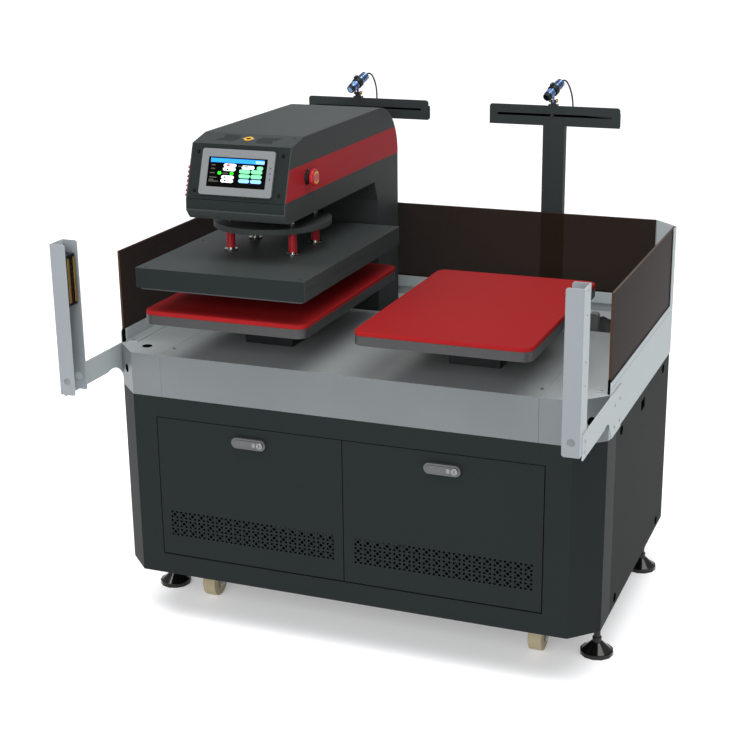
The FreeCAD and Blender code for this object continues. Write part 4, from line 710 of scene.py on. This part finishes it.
def head_top(looks):
    """Grilles, the ring badge and the small screws on the head's facet."""
    cutters = bmesh.new()
    for side in (-1, 1):
        grille(cutters, side)
    cut_node("head_cover", "grille_cutter", cutters)

    badge = facet_place(0, 0.0385)
    shape = bmesh.new()
    add_lathe(shape, [(0.0062, -0.0002), (0.0062, 0.0009), (0.0070, 0.0014), (0.0098, 0.0014),
                      (0.0106, 0.0008), (0.0106, -0.0002)], badge, 0, 48)
    add_prism(shape, rounded(0.0046, 0.0022, 0.0006), -0.0002, 0.0008, badge, 1)
    for side in (-1, 1):
        tip = [(side * 0.0112, -0.0014), (side * 0.0145, 0.0), (side * 0.0112, 0.0014)]
        add_prism(shape, tip if side > 0 else tip[::-1], -0.0002, 0.0008, badge, 2)
    piece("ring_badge", shape, "head", [looks["amber"], looks["dark"], looks["pale"]])

    shape = bmesh.new()
    for u in (-0.108, 0.108):
        for v in (0.010, 0.056):
            add_lathe(shape, [(0.0010, -0.0006), (0.0012, 0.0008), (0.0026, 0.0008), (0.0031, 0.0003),
                              (0.0032, -0.0002)], facet_place(u, v), 0, 20)
    piece("facet_screws", shape, "head", [looks["black_steel"]])


def front_depth(height):
    """Depth of the head's sloping front at a height."""
    share = (height - FACE_LOW[1]) / (FACE_TOP[1] - FACE_LOW[1])
    return FACE_LOW[0] + share * (FACE_TOP[0] - FACE_LOW[0])


def back_depth(height):
    """Depth of the head's back at a height, on its round top corner too."""
    centre_y, centre_z = HEAD[1].y - BACK_ROUND, HEAD[1].z - BACK_ROUND
    if height <= centre_z:
        return HEAD[1].y
    return centre_y + math.sqrt(BACK_ROUND ** 2 - (height - centre_z) ** 2)


def louvre(shape, place, long, tall, out):
    """One pressed louvre: a hood that swells from its top edge and opens downward."""
    steps = 8
    across = 10
    grid = []
    for i in range(across + 1):
        u = (i / across - 0.5) * long
        swell = out * math.sqrt(min(1.0, (0.5 - abs(i / across - 0.5)) * 6))
        spots = [Vector((u, tall * (0.5 - j / steps), swell * math.sin(math.pi * 0.55 * j / steps)))
                 for j in range(steps + 1)]
        grid.append([shape.verts.new(place @ spot) for spot in spots])
    for i in range(across):
        for j in range(steps):
            shape.faces.new((grid[i][j], grid[i + 1][j], grid[i + 1][j + 1], grid[i][j + 1]))
    lips = [shape.verts.new(place @ Vector(((i / across - 0.5) * long, -tall * 0.5, -0.0002)))
            for i in range(across + 1)]
    for i in range(across):
        shape.faces.new((grid[i][steps], grid[i + 1][steps], lips[i + 1], lips[i]))


def head_sides(looks):
    """The red band round the sides and the back, and the pressed louvres on the left and behind."""
    levels = [STRIPE[0] + (STRIPE[1] - STRIPE[0]) * i / 10 for i in range(11)]
    for name, x, out in (("left", HEAD[0].x, -1), ("right", HEAD[1].x, 1)):
        place = side_on((x, 0, 0))
        outline = [(front_depth(STRIPE[0]) + STRIPE_THICK, STRIPE[0])]
        outline += [(back_depth(z) - STRIPE_THICK, z) for z in levels]
        outline.append((front_depth(STRIPE[1]) + STRIPE_THICK, STRIPE[1]))
        shape = bmesh.new()
        add_prism(shape, outline, min(0, out * STRIPE_THICK), max(0, out * STRIPE_THICK), place)
        piece(f"side_stripe_{name}", shape, "head", [looks["red_paint"]], 0.1)

    shape = bmesh.new()
    for i in range(7):
        z = STRIPE[0] + LOUVRE_PITCH * (i + 0.5)
        y = front_depth(z) + 0.027
        place = side_on((HEAD[0].x - STRIPE_THICK, y, z), -1)
        louvre(shape, place, 0.050, 0.0078, 0.0092)
    piece("side_louvres", shape, "head", [looks["red_paint"]])

    centre = Vector((HEAD_X, HEAD[1].y - BACK_ROUND, HEAD[1].z - BACK_ROUND))
    left = Vector((-1, 0, 0))
    for name, look, slot, low, rows, long, out_by in (
            ("red", "red_paint", "stop_red", STRIPE[0] + LOUVRE_PITCH / 2, 7, 0.236, 0.0120),
            ("low", "powder_head_painted_light", "powder_grey", 0.940, 10, 0.170, 0.0060)):
        shape = bmesh.new()
        for row in range(rows):
            z = low + LOUVRE_PITCH * row
            lift = math.asin(max(0.0, (z - centre.z) / BACK_ROUND))
            out = Vector((0, math.cos(lift), math.sin(lift)))
            spot = Vector((centre.x, centre.y, min(z, centre.z))) + BACK_ROUND * out
            louvre(shape, basis(spot - 0.0002 * out, left, out.cross(left), out), long, 0.0080, out_by)
        piece(f"back_louvres_{name}", shape, "head", [looks[look]])
    shape = bmesh.new()
    outline = [(back_depth(z) + STRIPE_THICK, z) for z in levels]
    outline += [(back_depth(z) - STRIPE_THICK, z) for z in reversed(levels)]
    add_prism(shape, outline, HEAD[0].x, HEAD[1].x, side_on((0, 0, 0)))
    piece("back_stripe", shape, "head", [looks["red_paint"]])


# ---------------------------------------- emergency stop
def emergency_stop(looks):
    """Two yellow arrows on the red mushroom, and a dark ring on the collar."""
    low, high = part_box("estop_button")
    mid = Vector((high.x, (low.y + high.y) / 2, (low.z + high.z) / 2))
    place = side_on(mid)
    shape = bmesh.new()
    button = (high.z - low.z) / 2
    inner, outer, barb, steps = 0.56 * button, 0.70 * button, 0.0018, 14

    def polar(radius, angle):
        return radius * math.cos(angle), radius * math.sin(angle)

    for turn in (0, math.pi):
        angles = [turn + math.radians(25 + 105 * i / steps) for i in range(steps + 1)]
        tip = angles[-1] + math.radians(22)
        outline = [polar(outer, a) for a in angles]
        outline += [polar(outer + barb, angles[-1]), polar((inner + outer) / 2, tip),
                    polar(inner - barb, angles[-1])]
        outline += [polar(inner, a) for a in reversed(angles)]
        add_prism(shape, outline, -0.0002, 0.0003, place)
    piece("stop_arrows", shape, "stop_button", [looks["yellow"]])

    side = side_on((HEAD[1].x, mid.y, mid.z))
    shape = bmesh.new()
    add_lathe(shape, [(0.0152, 0.0034), (0.0160, 0.0040), (0.0164, 0.0050), (0.0160, 0.0062),
                      (0.0152, 0.0068)], side, 0, 48)
    piece("stop_ring", shape, "head", [looks["black_steel"]])


# ---------------------------------------- press
COIL_TURNS = 12
COIL_MEAN = 0.0088
COIL_RIM = 0.0105
WIRE_HALF = (0.0015, 0.0020)
SLOT_COUNT = 40
SLOT_PITCH = 0.0090
SCREW_INSET = 0.018
BOLT_COUNT = 8
BOLT_CIRCLE = 0.052


def coil(shape, place, low, high):
    """A die spring of flat wire, from low to high."""
    steps = COIL_TURNS * 28
    section = rounded(*WIRE_HALF, WIRE_HALF[0] * 0.45, steps=2)
    rings = []
    for i in range(steps + 1):
        share = i / steps
        angle = 2 * math.pi * COIL_TURNS * share
        height = low + WIRE_HALF[1] + (high - low - 2 * WIRE_HALF[1]) * share
        spots = [Vector(((COIL_MEAN + u) * math.cos(angle), (COIL_MEAN + u) * math.sin(angle), height + w))
                 for u, w in section]
        rings.append([shape.verts.new(place @ spot) for spot in spots])
    skin(shape, rings)


def press(looks):
    """Coil springs, the slots along the hot platen's side, screws on its cover and bolts on the disc."""
    low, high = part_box("press_springs")
    shape = bmesh.new()
    for x in (low.x + COIL_RIM, high.x - COIL_RIM):
        for y in (low.y + COIL_RIM, high.y - COIL_RIM):
            coil(shape, upright((x, y, 0)), low.z, high.z)
    springs = piece("spring_coils", shape, "hot_platen", [looks["spring"]])
    springs.modifiers.clear()
    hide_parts("press_springs")
    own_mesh(springs)

    low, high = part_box("platen_cover")
    shape = bmesh.new()
    place = side_on((high.x, 0, 0))
    for i in range(SLOT_COUNT):
        y = low.y + 0.012 + SLOT_PITCH * i
        add_prism(shape, rounded(0.0012, 0.0055, 0.0011, (y, low.z + 0.0250), 3), -0.005, 0.002, place)
    cut_node("platen_cover", "slot_cutter", shape)

    shape = bmesh.new()
    for x in (low.x + SCREW_INSET, high.x - SCREW_INSET):
        for y in (low.y + SCREW_INSET, (low.y + high.y) / 2, high.y - SCREW_INSET):
            add_lathe(shape, [(0.0012, -0.0004), (0.0015, 0.0012), (0.0027, 0.0012), (0.0034, 0.0005),
                              (0.0035, -0.0002)], upright((x, y, high.z)), 0, 20)
    piece("cover_screws", shape, "hot_platen", [looks["black_steel"]])

    low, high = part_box("pressure_disc")
    mid = Vector(((low.x + high.x) / 2, (low.y + high.y) / 2, high.z))
    shape = bmesh.new()
    for i in range(BOLT_COUNT):
        angle = 2 * math.pi * (i + 0.5) / BOLT_COUNT
        spot = mid + BOLT_CIRCLE * Vector((math.cos(angle), math.sin(angle), 0))
        add_lathe(shape, [(0.0020, 0.0015), (0.0022, 0.0050), (0.0042, 0.0050), (0.0046, 0.0046),
                          (0.0046, -0.0002)], upright(spot), 0, 24)
    add_lathe(shape, [(0.0252, 0.012), (0.030, 0.010), (0.040, 0.004), (0.042, -0.0002)],
              upright(mid), 1, 64)
    piece("disc_bolts", shape, "ram", [looks["chrome"], looks["powder_head_painted_light"]])


# ---------------------------------------- lower platens
PAD_CORNER = 0.025
PAD_ROLL = 0.0030


def pads(looks):
    """The two red silicone pads, with a rolled edge."""
    low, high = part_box("silicone_pads")
    low_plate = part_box("lower_platens")
    for side in (-1, 1):
        near, far = sorted((side * low_plate[1].x, side * (2 * STATION - low_plate[1].x)))
        mid = Vector(((near + far) / 2, (low.y + high.y) / 2, 0))
        half_x, half_y = (far - near) / 2, (high.y - low.y) / 2
        shape = bmesh.new()
        rings = []
        profile = [(0.0004, low.z), (0, low.z + 0.0006), (0, high.z - PAD_ROLL)]
        for angle in (math.pi / 2 * i / 5 for i in range(1, 6)):
            profile.append((PAD_ROLL * (1 - math.cos(angle)), high.z - PAD_ROLL * (1 - math.sin(angle))))
        for inset, z in profile:
            outline = rounded(half_x - inset, half_y - inset, PAD_CORNER - inset, steps=10)
            rings.append([shape.verts.new(mid + Vector((u, v, z))) for u, v in outline])
        skin(shape, rings)
        name = "left" if side < 0 else "right"
        pad = piece(f"pad_{name}", shape, "machine", [looks["silicone"]])
        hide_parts("silicone_pads")


# ---------------------------------------- guards and light curtain
# middles as (depth, height)
SEAM_MID = (deep(396), 0.7045)
PULL_MID = (deep(439), 0.550)
SEAM_HALF = 0.3285
SENSOR_DEEP = 0.033
# the tinted sheets: half their thickness, where the side edges start and stop, half the rear one's width
THIN = 0.0025
EDGE_LOW = 0.032
EDGE_STOP = 0.070
REAR_HALF = 0.536
# depths from the cabinet's front and heights, in millimetres
ARM_SCREWS = [(142, 660), (94, 660), (145, 609), (96, 609), (-178, 672), (-178, 648)]


def guards(looks):
    """The cut edges of the tinted sheets, the seam along each rail and the finger pulls' cups."""
    low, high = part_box("guard_panels")
    shape = bmesh.new()
    for side in (-1, 1):
        mid = side * (high.x - THIN)
        add_prism(shape, oblong(-THIN, THIN, low.z + EDGE_LOW, high.z), -0.0004, 0.0004,
                  front_on((mid, low.y, 0)))
        add_prism(shape, oblong(-THIN, THIN, low.y, high.y - EDGE_STOP), -0.0004, 0.0003,
                  upright((mid, 0, high.z)))
    add_prism(shape, oblong(-REAR_HALF, REAR_HALF, -THIN, THIN), -0.0004, 0.0003,
              upright((0, high.y - THIN, high.z)))
    piece("acrylic_edges", shape, "machine", [looks["acrylic_edge"]])

    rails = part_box("guard_frame")
    shape = bmesh.new()
    for side in (-1, 1):
        place = basis((side * rails[1].x, 0, 0), (0, 1, 0), (0, 0, 1), (side, 0, 0))
        add_prism(shape, rounded(SEAM_HALF, 0.0005, 0.0003, SEAM_MID, 2), -0.0001, 0.0002, place)
    piece("rail_seams", shape, "machine", [looks["seam"]])

    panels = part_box("side_panels")
    shape = bmesh.new()
    for side in (-1, 1):
        place = side_on((side * panels[1].x, *PULL_MID), side)
        add_prism(shape, rounded(0.0235, 0.0145, 0.0010), -0.0150, -0.0140, place)
    piece("pull_cups", shape, "machine", [looks["powder_mast"]])


def curtain(looks):
    """Gold strips and the optics of the two sensor bars."""
    low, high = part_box("curtain_sensors")
    mid = (low + high) / 2
    _, half_y, half_z = (high - low) / 2
    for name, side in (("left", -1), ("right", 1)):
        face = side * (high.x - SENSOR_DEEP)
        place = basis((face, mid.y, mid.z), (0, 1, 0), (0, 0, 1), (-side, 0, 0))
        shape = bmesh.new()
        for edge in (-1, 1):
            outline = rounded(0.0036, half_z - 0.007, 0.0012, (edge * (half_y - 0.0058), 0), 3)
            add_prism(shape, outline, -0.0002, 0.0010, place, 0)
        add_prism(shape, rounded(half_y - 0.0108, half_z - 0.005, 0.002), -0.0002, 0.0006, place, 1)
        for i in range(8):
            eye = place @ Matrix.Translation((0, (i - 3.5) * 0.0115, 0.0005))
            add_lathe(shape, [(0, 0.0014), (0.0015, 0.0012), (0.0026, 0.0008), (0.0030, 0)], eye, 1, 20)
        piece(f"sensor_face_{name}", shape, "machine", [looks["gold"], looks["lens"]])


def screw_heads(looks):
    """Round heads with a socket over the plain CAD screw heads on the light curtain's arms."""
    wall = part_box("curtain_arms")[1].x
    shape = bmesh.new()
    for side in (-1, 1):
        for y, z in ARM_SCREWS:
            place = side_on((side * wall, deep(y), z * MM), side)
            add_lathe(shape, [(0.0012, 0.0002), (0.0013, 0.0023), (0.0024, 0.0022), (0.0036, 0.0013),
                              (0.0040, -0.0002)], place, 0, 24)
    piece("arm_screw_caps", shape, "machine", [looks["steel"]])


# ---------------------------------------- lasers
# points of the lead from the middle of its laser, in millimetres
LEAD_ROUTE = [(12.35, 34.57, 18.52), (14.5, 40.6, 21.75), (24, 44.5, 17), (37, 39, -8), (47, 21, -38),
              (49, 6, -62), (49, 6, -84)]
LEAD_WIDTH = 0.0044
LASER_HEIGHT = 1.232
LASER_AIM = (-0.3, -0.84, -0.45)


def lead(name, pivot, looks):
    """The laser's thin lead, from its tail in an arc down to the gland behind the bar."""
    origin = Vector((pivot.x, pivot.y, LASER_HEIGHT))
    points = [origin + Vector(p) * MM for p in LEAD_ROUTE]
    curve = bpy.data.curves.new(f"lead_{name}", "CURVE")
    curve.dimensions = "3D"
    line = curve.splines.new("NURBS")
    line.points.add(len(points) - 1)
    for place, point in zip(line.points, points):
        place.co = (*point, 1)
    line.order_u = 3
    line.use_endpoint_u = True
    line.resolution_u = 12
    curve.bevel_depth = LEAD_WIDTH / 2
    curve.bevel_resolution = 4
    curve.use_fill_caps = True
    curve.materials.append(looks["jacket"])
    item = show(bpy.data.objects.new(f"lead_{name}", curve))
    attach(item, "machine")
    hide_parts(f"laser_lead_{name}")


def lasers(looks):
    """Clamp rings, knurled ends, lenses and thumbscrews of the cross-line lasers."""
    aim = Vector(LASER_AIM).normalized()
    side_way = aim.cross(Vector((0, 0, 1))).normalized()
    for name in ("left", "right"):
        pivot = joint_place(f"laser_{name}_tilt")
        lead(name, pivot, looks)
        origin = Vector((pivot.x, pivot.y, LASER_HEIGHT))
        along = basis(origin, side_way, aim.cross(side_way), aim)
        shape = bmesh.new()
        add_lathe(shape, [(0.0122, -0.0070), (0.0146, -0.0066), (0.0152, -0.0058), (0.0152, 0.0058),
                          (0.0146, 0.0066), (0.0122, 0.0070)], along, 0, 48)
        lug = along @ Matrix.Translation((0, -0.0165, 0))
        add_prism(shape, rounded(0.0042, 0.0034, 0.0012), -0.0052, 0.0052, lug, 0)
        piece(f"laser_ring_{name}", shape, f"laser_{name}", [looks["black_steel"]])
        shape = bmesh.new()
        for i in range(5):
            z = 0.0130 + 0.0022 * i
            add_lathe(shape, [(0.0118, z - 0.0009), (0.0125, z - 0.0004), (0.0125, z + 0.0004),
                              (0.0118, z + 0.0009)], along, 0, 40)
        add_lathe(shape, [(0.0096, 0.0282), (0.0104, 0.0286), (0.0106, 0.0300), (0.0106, 0.0352),
                          (0.0100, 0.0364), (0.0078, 0.0366), (0.0070, 0.0350), (0, 0.0350)], along, 1, 40)
        add_lathe(shape, [(0, 0.0360), (0.0034, 0.0358), (0.0060, 0.0351)], along, 2, 32)
        for z in (-0.0170, -0.0230):
            add_lathe(shape, [(0.0118, z - 0.0014), (0.0124, z - 0.0010), (0.0124, z + 0.0010),
                              (0.0118, z + 0.0014)], along, 1, 40)
        add_lathe(shape, [(0.0122, -0.0328), (0.0114, -0.0350), (0.0070, -0.0362), (0.0044, -0.0362)],
                  along, 3, 40)
        piece(f"laser_nose_{name}", shape, f"laser_{name}",
              [looks["laser"], looks["black_steel"], looks["lens"], looks["chrome"]])
        shape = bmesh.new()
        for side in (-1, 1):
            knob = side_on(pivot + Vector((side * 0.0062, 0, 0)), side)
            add_lathe(shape, [(0, 0.0056), (0.0034, 0.0055), (0.0048, 0.0046), (0.0052, 0.0032),
                              (0.0052, 0.0008), (0.0046, 0.0002), (0, 0.0002)], knob, 0, 12)
        piece(f"laser_knuckle_{name}", shape, f"laser_clamp_{name}", [looks["brass"]])


# ---------------------------------------- castors and inlet
def running_gear(looks):
    """Raised rings on both faces of each wheel, and the inlet's pins."""
    for corner, wheel in zip(CORNERS, WHEELS):
        low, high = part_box(wheel)
        mid = (low + high) / 2
        shape = bmesh.new()
        for way in (-1, 1):
            place = side_on((mid.x + way * (high.x - mid.x), mid.y, mid.z), way)
            add_lathe(shape, [(0.0090, 0.0010), (0.0130, 0.0009), (0.0145, 0.0003), (0.0150, -0.0006)],
                      place, 0, 40)
            add_lathe(shape, [(0.0270, -0.0006), (0.0275, 0.0006), (0.0290, 0.0006), (0.0295, -0.0006)],
                      place, 0, 56)
        piece(f"wheel_rings_{corner}", shape, wheel, [looks["nylon"]])

    low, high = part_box("power_inlet")
    shape = bmesh.new()
    mid = Vector(((low.x + high.x) / 2, high.y, (low.z + high.z) / 2))
    place = basis(mid, (1, 0, 0), (0, 0, 1), (0, 1, 0))
    for u, v in ((-0.007, -0.001), (0, 0.0035), (0.007, -0.001)):
        add_prism(shape, rounded(0.0010, 0.0022, 0.0004, (u, v), 2), -0.0165, -0.0040, place)
    piece("inlet_pins", shape, "machine", [looks["brass"]])


# ---------------------------------------- stage
def make_stage():
    """A wide pale floor, an even pale sky and soft lamps above, in front, at the left and behind."""
    shape = bmesh.new()
    bmesh.ops.create_grid(shape, x_segments=1, y_segments=1, size=60)
    mesh = bpy.data.meshes.new("floor")
    shape.to_mesh(mesh)
    shape.free()
    floor = show(bpy.data.objects.new("floor", mesh))
    paint = surface("floor_paint", (0.80, 0.80, 0.81), 0.7, patch=0.01, patch_scale=0.5, grain=200,
                    bump=0.02, specular=0.2)
    light_up(paint, (1, 1, 1), 0.27)
    mesh.materials.append(paint)

    world = bpy.data.worlds.new("studio")
    world.use_nodes = True
    bpy.context.scene.world = world
    tree = world.node_tree
    place = tree.nodes.new("ShaderNodeTexCoord")
    split = tree.nodes.new("ShaderNodeSeparateXYZ")
    sky = tree.nodes.new("ShaderNodeMapRange")
    sky.inputs["From Min"].default_value = 0.0
    sky.inputs["From Max"].default_value = 0.9
    sky.inputs["To Min"].default_value = 0.36
    sky.inputs["To Max"].default_value = 0.62
    link(tree, place, "Generated", split, "Vector")
    link(tree, split, "Z", sky, "Value")
    link(tree, sky, "Result", tree.nodes["Background"], "Strength")
    tree.nodes["Background"].inputs["Color"].default_value = (0.97, 0.985, 1.0, 1)

    def lamp(kind, name, place, aim, power, size):
        data = bpy.data.lights.new(name, kind)
        data.energy = power
        if kind == "AREA":
            data.shape = "RECTANGLE"
            data.size, data.size_y = size
        else:
            data.angle = size
        item = bpy.data.objects.new(name, data)
        item.location = place
        item.rotation_euler = (Vector(aim) - Vector(place)).to_track_quat("-Z", "Y").to_euler()
        show(item)

    lamp("SUN", "key", (1.4, -0.9, 5.0), (0, 0, 0), 2.0, math.radians(48))
    lamp("AREA", "front_panel", (0.2, -4.2, 2.2), (0, 0, 0.75), 115, (3.2, 1.8))
    lamp("AREA", "left_panel", (-2.2, -1.3, 4.4), (-0.4, -0.3, 0.8), 80, (1.8, 1.8))
    lamp("AREA", "back_panel", (-0.8, 3.6, 2.8), (0, 0.2, 0.9), 16, (2.6, 1.2))
    bpy.context.scene.view_settings.view_transform = "Standard"


# ---------------------------------------- everything
make_camera()
looks = make_materials()
lasers(looks)
finish_nodes(looks)
doors(looks)
display(looks)
head_top(looks)
head_sides(looks)
emergency_stop(looks)
press(looks)
pads(looks)
guards(looks)
curtain(looks)
screw_heads(looks)
running_gear(looks)
make_stage()
